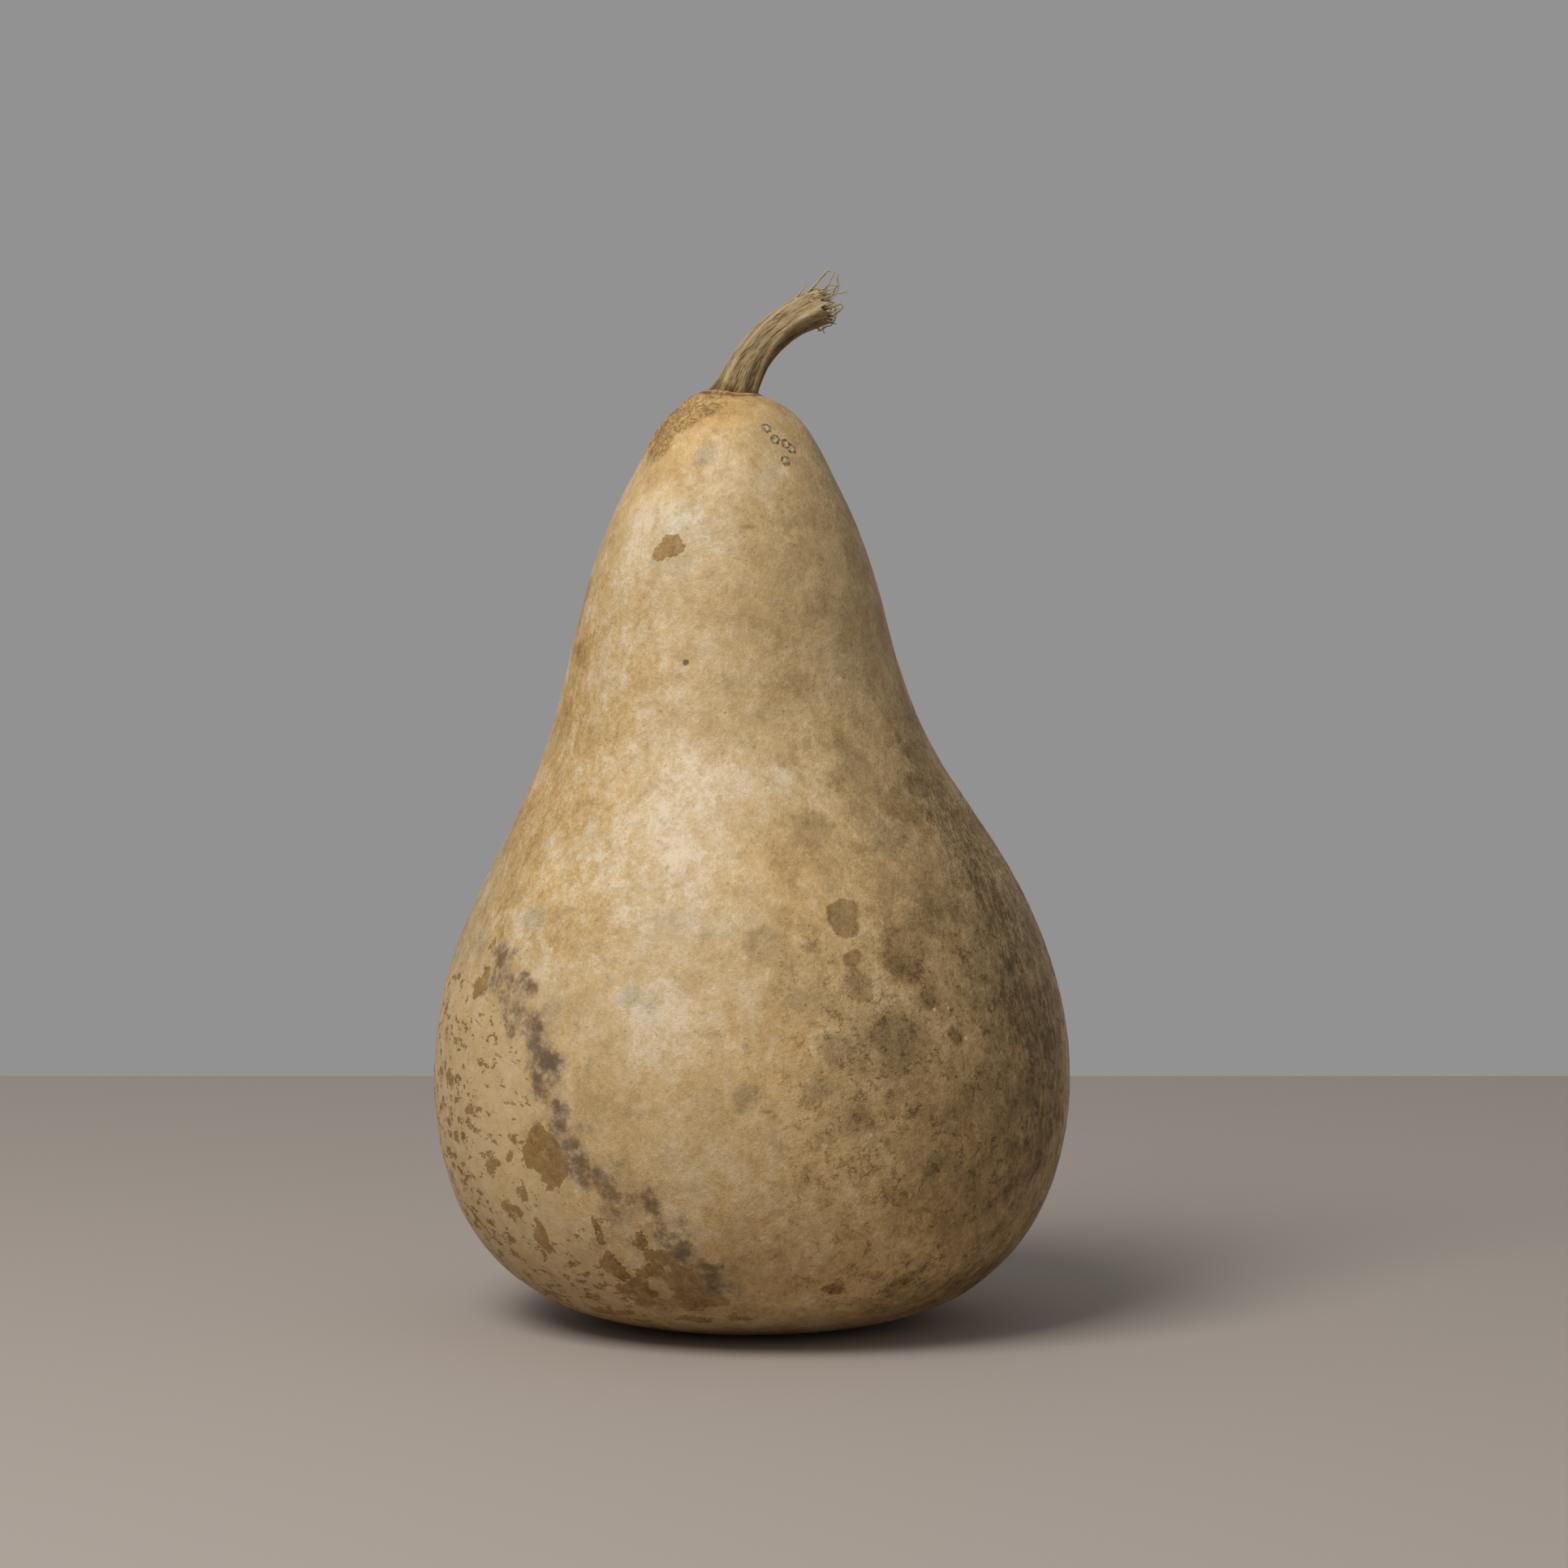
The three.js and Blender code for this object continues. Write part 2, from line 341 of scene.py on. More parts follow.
# Broad zones and soft-edged spots: azimuth, height, half width and half height in mm, then the
# tone they bring (0 dark olive brown, 1 cream), the warmth (0 grey, 1 ochre) and the strength.
ZONES = (
    (0, 190, 60, 60, 0.68, 0.45, 0.5),
    (48, 195, 40, 66, 0.54, 0.36, 0.95),
    (50, 125, 42, 44, 0.36, 0.42, 0.95),
    (61, 88, 30, 66, 0.28, 0.42, 0.95),
    (56, 45, 44, 34, 0.32, 0.5, 0.85),
    (62, 14, 56, 20, 0.25, 0.52, 0.85),
    (20, 80, 24, 34, 0.58, 0.42, 0.5),
    (84, 120, 16, 90, 0.5, 0.3, 0.6),
    (-64, 150, 26, 52, 0.54, 0.7, 0.85),
    (-72, 163, 12, 15, 0.46, 0.9, 0.8),
    (-78, 140, 10, 34, 0.6, 0.6, 0.5),
    (-66, 179, 7, 8, 0.32, 1.0, 0.9),
    (-58, 139, 15, 18, 0.56, 0.85, 0.6),
    (-48, 126, 12, 8, 0.6, 0.75, 0.5),
    (-14, 90, 13, 15, 0.84, 0.45, 0.6),
    (25, 80, 18, 26, 0.5, 0.4, 0.6),
    (68, 158, 12, 16, 0.36, 0.45, 0.6),
    (-66, 14, 34, 9, 0.44, 0.6, 0.8),
    (16, 221, 8, 9, 0.82, 0.35, 0.6),
    (66, 235, 13, 9, 0.42, 0.5, 0.7),
    (-80, 108, 18, 26, 0.5, 0.4, 0.7),
    (-68, 106, 8, 8, 0.42, 0.22, 0.7),
    # Partly painted highlight: the pale cream middle lies where the lamp's broad sheen falls; part of it
    # is the skin's own paler tone.
    (-12, 141, 34, 30, 0.93, 0.36, 0.9),
    (-15, 118, 20, 16, 0.86, 0.25, 0.6),
    (-12, 99, 16, 11, 0.86, 0.3, 0.5),
    (-40, 129, 10, 5, 0.85, 0.3, 0.6),
    (-26, 86, 16, 12, 0.76, 0.5, 0.4),
    (-10, 52, 12, 20, 0.78, 0.35, 0.5),
    (6, 75, 22, 12, 0.68, 0.66, 0.5),
    (16, 22, 40, 16, 0.66, 0.7, 0.5),
    # Partly painted sheen: the pale upper left of the neck lies where the lamp's sheen falls; part of it
    # is the skin's own paler tone.
    (-40, 213, 17, 15, 0.93, 0.25, 0.9),
    (-50, 200, 10, 12, 0.84, 0.42, 0.6),
    (-33, 197, 7, 5, 0.88, 0.3, 0.6),
    (-15, 212, 12, 10, 0.86, 0.1, 0.75),
    (-6, 222, 8, 6, 0.84, 0.3, 0.5),
    (21, 225, 4, 8, 0.84, 0.15, 0.7),
    (36, 176, 8, 10, 0.66, 0.2, 0.5),
    (-20, 246, 16, 4, 0.6, 0.9, 0.7),
    (-30, 246, 16, 5, 0.5, 0.8, 0.7),
    (150, 70, 50, 60, 0.44, 0.46, 0.7),
    (-150, 150, 60, 50, 0.56, 0.6, 0.6),
    (180, 190, 40, 40, 0.62, 0.45, 0.6),
    (120, 150, 40, 40, 0.52, 0.4, 0.6),
    (-170, 30, 50, 30, 0.5, 0.55, 0.6),
    (-120, 110, 34, 34, 0.6, 0.5, 0.5),
)
SPOTS = (
    (16.7, 136.5, 5.2, 5.6, 0.46, 0.42, 0.9),
    (12.7, 154, 3.2, 1.4, 0.56, 0.35, 0.7),
    (19.3, 114, 4.5, 4.8, 0.27, 0.5, 1.0),
    (19.6, 104.5, 2.9, 2.5, 0.28, 0.5, 1.0),
    (20.1, 97.5, 4.0, 4.2, 0.34, 0.42, 0.9),
    (31, 105, 6.8, 8.4, 0.25, 0.5, 0.84),
    (11.6, 107, 1.8, 1.8, 0.38, 0.4, 0.85),
    (25.3, 116.3, 1.1, 1.1, 0.35, 0.6, 0.9),
    (26.3, 112, 1.1, 1.1, 0.35, 0.6, 0.9),
    (28.7, 113.5, 1.0, 1.5, 0.36, 0.6, 0.8),
    (2.7, 108, 4.2, 5.4, 0.5, 0.35, 0.8),
    (34, 94, 2.8, 3.2, 0.25, 0.5, 0.85),
    (26, 83, 6.6, 7.4, 0.25, 0.36, 0.84),
    (39, 83.5, 2.4, 1.9, 0.24, 0.5, 0.97),
    (29.9, 78, 2.2, 2.0, 0.33, 0.5, 0.8),
    (19.6, 77.5, 1.6, 1.6, 0.4, 0.5, 0.8),
    (16, 73.5, 1.4, 1.4, 0.4, 0.5, 0.8),
    (12, 72, 3.6, 3.4, 0.42, 0.3, 0.8),
    (16, 82, 5.0, 4.0, 0.42, 0.25, 0.8),
    (-0.5, 69.5, 2.8, 3.2, 0.44, 0.2, 0.8),
    (13.9, 61.5, 1.4, 1.2, 0.32, 0.5, 0.8),
    (24.7, 58, 1.2, 1.2, 0.3, 0.5, 0.9),
    (34.4, 51, 3.2, 3.2, 0.35, 0.36, 0.9),
    (42.4, 66, 2.0, 2.0, 0.3, 0.5, 0.8),
    (33, 64, 4.2, 2.6, 0.38, 0.5, 0.6),
    (20, 63.5, 4.2, 2.6, 0.42, 0.5, 0.7),
    (54, 62.5, 4.2, 2.0, 0.2, 0.55, 0.9),
    (59, 65.5, 4.2, 2.6, 0.2, 0.55, 0.9),
    (56, 51, 3.6, 2.8, 0.24, 0.6, 0.8),
    (64.7, 47, 3.8, 3.6, 0.15, 0.55, 0.9),
    (35, 148, 9.0, 5.0, 0.4, 0.4, 0.8),
    (31, 141, 4.5, 4.0, 0.42, 0.4, 0.7),
    (44, 141, 6.5, 4.6, 0.27, 0.52, 0.9),
    (57, 146, 6.5, 3.6, 0.18, 0.52, 0.9),
    (67, 150, 8.0, 9.0, 0.2, 0.5, 0.8),
    (34, 158, 2.6, 2.0, 0.44, 0.4, 0.6),
    (21, 157, 1.8, 1.8, 0.46, 0.4, 0.6),
    (3.5, 173, 2.6, 1.2, 0.52, 0.15, 0.6),
    (10, 165, 3.2, 1.2, 0.56, 0.25, 0.6),
    (9, 95, 3.0, 3.0, 0.52, 0.25, 0.7),
    (15, 92.5, 1.8, 1.6, 0.48, 0.3, 0.7),
    (8, 101, 1.8, 2.6, 0.5, 0.4, 0.6),
    (-17.5, 232, 2.2, 3.0, 0.56, -0.05, 0.8),
    (-22.5, 95.3, 3.2, 2.4, 0.79, -0.4, 0.9),
    (-19, 93, 2.6, 2.2, 0.77, -0.3, 0.7),
    (-50, 112, 4.6, 3.6, 0.74, -0.1, 0.8),
    (-38.5, 91, 3.4, 4.6, 0.72, -0.1, 0.8),
    (-16, 113, 6.5, 3.0, 0.84, -0.2, 0.5),
    (-8, 113, 7.5, 2.2, 0.84, -0.2, 0.5),
    (-25, 38.5, 4.2, 3.2, 0.42, 0.1, 0.8),
    (-23, 204, 4.2, 1.8, 0.8, -0.2, 0.7),
    (-44, 102, 2.6, 2.2, 0.78, 0.1, 0.6),
    (37, 135, 7.0, 4.0, 0.5, 0.05, 0.5),
    (0, 190, 3.0, 2.0, 0.6, 0.3, 0.5),
    (20, 193, 3.2, 1.8, 0.48, 0.4, 0.6),
    (31, 192, 5.5, 2.8, 0.46, 0.4, 0.6),
    (58, 182, 2.4, 2.6, 0.38, 0.45, 0.6),
)
# Places a little lighter or darker, warmer or greyer than the zones leave them: azimuth, height,
# half width and half height in mm, then what is added to the tone and to the warmth.
SHIFTS = (
    (-15, 89, 13, 15, 0.15, -0.1),
    (2, 122, 14, 14, -0.05, 0.15),
    (4, 100, 12, 9, -0.06, 0.05),
    (18, 120, 12, 12, -0.05, 0.15),
    (30, 68, 14, 20, -0.12, 0.0),
    (46, 76, 14, 16, -0.2, 0.0),
    (26, 30, 30, 12, -0.08, 0.08),
    (62, 34, 26, 18, -0.1, 0.06),
    (-74, 160, 12, 34, 0.16, 0.0),
    (-50, 150, 18, 22, 0.09, 0.0),
    (-54, 122, 14, 12, 0.12, 0.05),
    (-30, 122, 14, 10, 0.09, 0.0),
    (-30, 181, 12, 10, 0.1, 0.0),
    (-52, 222, 14, 12, 0.12, 0.1),
    (-12, 228, 26, 12, 0.07, 0.05),
    (20, 234, 16, 10, 0.09, 0.0),
    (2, 202, 12, 10, 0.09, 0.05),
    (30, 180, 12, 12, 0.08, 0.0),
    (15, 160, 10, 10, 0.07, 0.0),
    (-66, 18, 20, 9, -0.13, 0.0),
    (-15, 15, 12, 8, -0.42, 0.0),
    (-45, 30, 12, 8, -0.07, 0.0),
    (-15, 31, 9, 7, 0.07, 0.0),
    (-58, 70, 9, 16, 0.06, 0.0),
    (70, 172, 12, 20, -0.07, 0.1),
    (-34, 238, 9, 9, -0.05, 0.4),
    (-12, 240, 10, 5, -0.03, 0.3),
    (0, 78, 16, 14, 0.05, 0.12),
    (-15, 92, 12, 14, 0.1, 0.0),
    (24, 44, 34, 24, 0.03, 0.14),
    (58, 60, 16, 30, 0.02, 0.16),
    (15, 86, 12, 12, 0.07, 0.05),
    (-70, 142, 9, 12, 0.07, 0.1),
    (-66, 17, 20, 9, -0.12, 0.0),
)
# The streak of mould down the left: azimuth and height of its bends.
MOULD_STREAK = (
    (-57, 101.5), (-53, 96), (-48, 90), (-44.5, 86), (-41.5, 81), (-39, 76), (-39.5, 71), (-37, 66.5),
    (-34.5, 60), (-32.5, 54), (-30, 48.5), (-26.5, 47.5), (-22, 43.5), (-18, 40.5), (-15.5, 36.5),
    (-13.5, 29.5), (-9, 23), (-6, 18),
)
# Darker cores of mould: azimuth, height, half width, half height and strength.
MOULD = (
    (-55.7, 101, 3.2, 3.6, 0.95),
    (-52.5, 95.5, 7.0, 4.6, 0.7),
    (-53, 103, 4.0, 2.0, 0.5),
    (-47, 98, 2.6, 2.2, 0.8),
    (-44.6, 94.5, 3.4, 4.6, 0.75),
    (-48, 88.5, 6.0, 4.0, 0.6),
    (-47.5, 84, 3.6, 3.0, 0.55),
    (-41.5, 86, 3.4, 4.4, 0.9),
    (-42, 81.5, 3.4, 3.6, 0.8),
    (-38.6, 77.5, 6.4, 5.4, 1.0),
    (-40, 71.5, 3.4, 4.0, 0.95),
    (-37.2, 73, 2.6, 3.0, 0.7),
    (-35.6, 65.3, 4.2, 3.4, 0.8),
    (-39.5, 62, 2.0, 2.0, 0.6),
    (-34.2, 60, 3.0, 2.6, 0.9),
    (-30, 61, 3.6, 2.6, 0.4),
    (-33, 55.5, 4.0, 2.8, 0.95),
    (-31.6, 50.5, 3.8, 4.2, 0.9),
    (-30.6, 47, 2.4, 2.8, 0.7),
    (-27.2, 49, 3.0, 3.2, 0.95),
    (-23.6, 52, 4.6, 3.6, 0.4),
    (-20.4, 43, 5.4, 3.6, 0.85),
    (-17.6, 41, 3.4, 3.0, 0.8),
    (-14.6, 37, 3.6, 3.6, 0.6),
    (-25, 38, 4.6, 3.4, 0.5),
    (-19, 35, 3.6, 4.0, 0.35),
    (-13.4, 29.5, 4.6, 4.6, 0.9),
    (-8.4, 23, 5.4, 4.6, 0.85),
    (-6.4, 18.5, 4.6, 3.6, 0.7),
    (-23, 31, 5.0, 4.4, 0.4),
    (-16, 23, 6.0, 5.0, 0.45),
    (-11, 18, 5.0, 3.6, 0.5),
    (150, 84, 6, 8, 0.7),
    (146, 74, 5, 6, 0.9),
    (141, 65, 6, 6, 0.6),
    (-158, 50, 7, 5, 0.6),
    (-152, 43, 4, 4, 0.8),
)
# Crisp ochre-brown patches of old outer skin: azimuth, height, half width, half height.
PATCHES = (
    (-39.8, 53.6, 5.6, 6.4),
    (-36.6, 50.2, 4.8, 6.6),
    (-37.6, 46.8, 4.4, 3.6),
    (-42.0, 52.4, 2.6, 4.4),
    (-61.2, 93.2, 3.0, 3.0),
    (-59.2, 96.2, 2.4, 2.4),
    (-61.0, 104.6, 1.9, 1.5),
    (-59.3, 61.2, 2.8, 1.7),
    (-56.4, 62.6, 1.8, 1.4),
    (-69.0, 67.6, 2.8, 1.6),
    (-74.6, 69.0, 1.6, 1.2),
    (-53.8, 46.9, 2.0, 1.5),
    (-52.0, 48.9, 1.8, 1.3),
    (-46.4, 55.4, 1.3, 1.5),
    (-47.2, 50.4, 1.2, 1.8),
    (-46.2, 42.4, 1.5, 2.4),
    (-51.4, 37.8, 2.6, 1.7),
    (-48.8, 35.8, 2.6, 1.5),
    (-43.8, 31.2, 2.2, 3.6),
    (-43.4, 27.6, 2.8, 2.4),
    (-29.7, 33.4, 1.6, 4.0),
    (-28.2, 36.0, 2.0, 1.3),
    (-29.0, 25.0, 2.6, 2.6),
    (-27.6, 22.4, 2.6, 3.0),
    (-28.0, 17.4, 2.4, 2.6),
    (-20.6, 22.6, 4.6, 3.0),
    (-17.6, 27.4, 4.2, 3.2),
    (-13.6, 20.6, 5.0, 5.0),
    (-15.6, 14.4, 6.4, 3.4),
    (-24.6, 13.6, 4.6, 2.0),
    (-33.0, 9.6, 5.0, 1.7),
    (-41.0, 8.8, 4.6, 2.0),
    (-15.0, 8.6, 5.0, 2.2),
    (-24.0, 18.6, 3.6, 4.6),
    (-9.6, 15.4, 4.8, 4.4),
    (-21.0, 31.0, 2.4, 2.2),
    (-2.8, 10.0, 3.8, 2.0),
    (18.0, 19.0, 3.9, 2.2),
    (-56.6, 22.6, 2.4, 1.2),
    (-54.0, 12.0, 3.4, 1.5),
    (-65.0, 21.0, 2.2, 1.4),
    (-30.6, 207.4, 3.6, 2.6),
    (-28.8, 208.6, 3.0, 2.6),
    (-27.2, 207.2, 2.2, 1.9),
    (-97, 52, 6, 5),
    (-104, 66, 4, 3),
    (-112, 38, 5, 6),
    (-118, 60, 3, 3),
    (168, 40, 5, 4),
    (132, 28, 4, 3),
)
# The edge of the zone where the outer skin has peeled: height, azimuth of its right border.
PEELED_EDGE = (
    (0, -24), (14, -28), (28, -31), (40, -33), (48, -38), (58, -43), (66, -41), (76, -42.5),
    (83, -46), (88, -51), (93, -60), (97, -74),
)
PEELED_LEFT = -128
# The border of the bark-like skin beside the stem: height, azimuth of its right side.
BARK_EDGE = ((231, -50), (237, -42), (243, -30), (247, -12))
BARK_LEFT = -118
# Fine dark lines: azimuth and height of both ends, and how dark.
CREASES = (
    (12, 231.5, 16, 229, 0.45),
    (16, 229, 20.5, 225, 0.35),
    (6, 214, 12.5, 213, 0.6),
    (15, 216, 20, 214, 0.6),
    (22, 219, 26, 217, 0.5),
    (3.2, 66.5, 4.6, 64.6, 0.7),
    (4.6, 64.6, 6.2, 62.4, 0.6),
    (2, 66.8, 3.2, 66.5, 0.5),
    (18, 64.5, 22, 62.2, 0.6),
    (16.5, 60.5, 19, 58.5, 0.4),
    (-57.6, 92.6, -59.4, 91.2, 0.8),
    (-1.5, 78, 0.5, 77.2, 0.4),
    (8, 175, 12, 174.4, 0.3),
    (64, 62, 70, 52, 0.5),
    (66, 60, 73, 49, 0.5),
)
RING_SPOTS = ((28, 239.4), (32, 236.6), (40, 235.4), (43, 234), (35.5, 230.6))
PIT = (-16.2, 179.3)
SPECKS = ((38.5, 91), (41.5, 83), (21.5, 60), (35, 90.5), (8, 147))


def everywhere(value):
    """The same number at each point of the skin's grid."""
    return np.full(skin.places.shape[:2], value)


def reach(offsets, across, along):
    """Distance from a place as a share of the mark's half sizes: 1 at its edge."""
    return np.hypot(offsets[0] / across, offsets[1] / along)


class Wander:
    """Smooth sideways shifts that make the marks' outlines uneven."""

    def __init__(self, size, amount, seed):
        self.across = amount * fractal(skin.places, size, 3, seed)
        self.along = amount * fractal(skin.places, size, 3, seed + 1)

    def offsets(self, azimuth, height):
        across, along = skin.offsets(azimuth, height)
        return across + self.across, along + self.along


def hidden_side_spots():
    """Soft spots scattered over the back and the sides, with a fixed seed."""
    random = np.random.default_rng(HIDDEN_SPOTS_SEED)
    for _ in range(HIDDEN_SPOTS):
        size = random.uniform(1.2, 6.5)
        yield (
            random.uniform(82, 275),
            random.uniform(14, 205),
            size,
            size * random.uniform(0.7, 1.4),
            random.uniform(0.26, 0.5),
            random.uniform(0.2, 0.7),
            random.uniform(0.4, 0.9),
        )


def paint_zones():
    """Tone and warmth of the broad zones of the skin, before its spots and fine mottling."""
    wander = Wander(26, 9.0, 11)
    tone, warmth = everywhere(START_TONE), everywhere(START_WARMTH)
    for azimuth, height, across, along, new_tone, new_warmth, strength in ZONES:
        distance = reach(wander.offsets(azimuth, height), across, along)
        cover = strength * (1 - smoothstep(0.2, 1.15, distance))
        tone += (new_tone - tone) * cover
        warmth += (new_warmth - warmth) * cover
    for azimuth, height, across, along, lighter, warmer in SHIFTS:
        cover = np.exp(-(reach(wander.offsets(azimuth, height), across, along) ** 2))
        tone += lighter * cover
        warmth += warmer * cover
    left_side = 0.5 + 0.5 * smoothstep(-0.5, 0.6, -np.sin(skin.turn))
    stem_side = left_side * smoothstep(skin.top - 7, skin.top - 1.5, skin.height)
    tone += (0.54 - tone) * 0.7 * stem_side
    warmth += (0.85 - warmth) * 0.8 * stem_side
    return tone, warmth


def paint_spots():
    """How far inside the nearest spot each point is, and that spot's tone, warmth and strength."""
    wander = Wander(6, 1.8, 12)
    inside = everywhere(OUTSIDE)
    found = [everywhere(0.5), everywhere(0.5), everywhere(0.0)]
    for azimuth, height, across, along, *looks in (*SPOTS, *hidden_side_spots()):
        distance = reach(wander.offsets(azimuth, height), across, along)
        crispness = 0.35 + 1.8 * looks[2] ** 11
        depth = (1 - distance) * min(across, along) * crispness
        nearer = depth > inside
        inside = np.where(nearer, depth, inside)
        found = [np.where(nearer, look, old) for look, old in zip(looks, found)]
    return inside, *found


def cloudiness(peeled):
    """Uneven tone in large and middle sizes, weaker where the outer skin has peeled."""
    clouds = 0.04 * fractal(skin.places, 38, 3, 21)
    clouds = clouds + 0.03 * fractal(skin.places * (1, 1, 1.2), 13, 2, 22)
    return clouds * (1 - 0.5 * peeled)


def between_borders(right_edge, left_border):
    """Distance in mm to the nearer side border. right_edge gives heights and azimuths."""
    heights, borders = np.array(right_edge).T
    right = np.radians(np.interp(skin.height, heights, borders) - skin.azimuth) * skin.radius
    left = np.radians(skin.azimuth - left_border) * skin.radius
    return np.minimum(right, left)


def peeled_distance():
    """Distance in mm inside the peeled zone's border, less than 0 outside."""
    highest = PEELED_EDGE[-1][0] - np.maximum(-76 - skin.azimuth, 0)
    inside = np.minimum(between_borders(PEELED_EDGE, PEELED_LEFT), highest - skin.height)
    behind = 1 - smoothstep(-84, -68, skin.azimuth)
    return inside + 3.0 * fractal(skin.places, 9, 3, 31) + 9 * behind * fractal(skin.places, 30, 3, 32)


def deepest(marks, wander):
    """Distance in mm inside the nearest mark of a list, less than 0 outside them all."""
    found = everywhere(OUTSIDE)
    for azimuth, height, across, along in marks:
        distance = reach(wander.offsets(azimuth, height), across, along)
        found = np.maximum(found, (1 - distance) * min(across, along))
    return found


def distance_to_line(start, end, wander=None):
    """Distance in mm from the line between two places."""
    find = wander.offsets if wander else skin.offsets
    across, along = find(*start)
    far_across, far_along = find(*end)
    run = np.stack([across - far_across, along - far_along])
    share = np.clip((across * run[0] + along * run[1]) / np.maximum((run**2).sum(0), 1e-6), 0, 1)
    return np.hypot(across - share * run[0], along - share * run[1])


def crease_darkness():
    """How dark the fine lines, and the seam around the stem's foot, make each point."""
    wander = Wander(3, 0.7, 43)
    found = everywhere(0.0)
    for azimuth, height, end_azimuth, end_height, dark in CREASES:
        distance = distance_to_line((azimuth, height), (end_azimuth, end_height), wander)
        found = np.maximum(found, dark * (1 - smoothstep(0.2, 1.1, distance)))
    foot_edge = SEAM_RADIUS + 0.9 * np.clip(-np.sin(skin.turn), 0, 1)
    foot_edge = foot_edge + 0.5 * fractal(skin.places, 2.2, 2, 44)
    seam = np.exp(-(((skin.from_stem - foot_edge) / SEAM_WIDTH) ** 2))
    return np.maximum(found, seam * (skin.height > CROWN_FROM))


def mould_strength():
    """How mouldy each point is, from 0 to 1."""
    streak = Wander(7, 2.6, 45)
    nearest = everywhere(FAR)
    for start, end in zip(MOULD_STREAK, MOULD_STREAK[1:]):
        nearest = np.minimum(nearest, distance_to_line(start, end, streak))
    found = 0.56 * (1 - smoothstep(1.2, 8.0, nearest))
    wander = Wander(5, 1.6, 41)
    for azimuth, height, across, along, strength in MOULD:
        distance = reach(wander.offsets(azimuth, height), across, along)
        found = np.maximum(found, strength * (1 - smoothstep(0.3, 1.45, distance)))
    return found


def bark_distance():
    """Distance in mm inside the border of the bark-like skin beside the stem, less than 0 outside."""
    lowest = BARK_EDGE[0][0] + 0.45 * np.maximum(-84 - skin.azimuth, 0)
    inside = np.minimum(between_borders(BARK_EDGE, BARK_LEFT), skin.height - lowest)
    return inside + 1.3 * fractal(skin.places, 5, 3, 33) + 4 * fractal(skin.places, 14, 2, 34)


def between(value, start, full, last, end):
    """0 outside start and end, 1 from full to last, smooth between."""
    return smoothstep(start, full, value) * (1 - smoothstep(last, end, value))


class Marks:
    """Every field that shapes or colours the skin, at each point of its grid.

    peeled, bark, patch and spot are distances in mm inside a border, less than 0 outside it. The
    others are amounts: how strong something is, or a tone or a warmth.
    """

    def __init__(self):
        azimuth, height = skin.azimuth + 0 * skin.height, skin.height + 0 * skin.azimuth
        self.peeled = peeled_distance()
        inside = smoothstep(-0.5, 0.5, self.peeled)
        # The wrinkled flank, with a fainter stretch behind it and another on the left shoulder.
        swayed = azimuth + 12 * fractal(skin.places, 32, 3, 62) * smoothstep(70, 90, azimuth)
        side = between(swayed, 44, 60, 74, 108) + 0.7 * between(swayed, 114, 134, 150, 176)
        shoulder = 0.4 * between(azimuth, -110, -85, -58, -40) * between(height, 105, 130, 185, 205)
        self.flank = np.clip(side, 0, 1) * between(height, 34, 58, 130, 168) + shoulder
        self.bark = bark_distance()
        self.tone, self.warmth = paint_zones()
        self.spot, self.spot_tone, self.spot_warmth, self.spot_cover = paint_spots()
        # How strong the mottling is, and how much warmer its dark parts are, by side.
        left = between(azimuth, -100, -70, -38, -20) * between(height, 88, 108, 185, 215)
        right = between(azimuth, 0, 28, 170, 220) * (1 - smoothstep(150, 190, height))
        self.contrast = 1 + 0.45 * left + 0.35 * right + 0.2 * (1 - smoothstep(20, 50, height))
        self.hues = 0.4 + 0.7 * left - 0.45 * between(azimuth, 8, 30, 170, 220) + 0.35 * self.flank
        # The peeled zone is paler and more even, and darker towards the ground.
        self.tone += cloudiness(inside)
        self.tone += (PEELED_TONE - self.tone) * 0.75 * inside * between(azimuth, -140, -124, -20, -10)
        self.warmth += (PEELED_WARMTH - self.warmth) * 0.7 * inside
        self.tone -= 0.16 * inside * (1 - smoothstep(6, 30, height))
        self.patch = deepest(PATCHES, Wander(5, 2.2, 51))
        self.mould = mould_strength()
        self.crease = crease_darkness()
        # Flecks of old skin left in the peeled zone are denser at its far side and near the ground.
        rim = between(azimuth, -180, -118, -70, -48)
        density = 0.32 + 0.45 * fractal(skin.places, 22, 2, 61) + 0.3 * rim
        density += 0.25 * (1 - smoothstep(14, 40, height))
        self.fleck = inside * np.clip(density, 0.1, 1)
        self.freckle = between(azimuth, -6, 16, 200, 250) * between(height, 4, 16, 92, 128)


marks = Marks()


# --- Shape of the skin -------------------------------------------------------------------


def ridges(points, size, octaves, seed):
    """Sharp crests and rounded valleys, from 0 to 1."""
    return 1 - np.minimum(np.abs(fractal(points, size, octaves, seed)) * 2.2, 1)


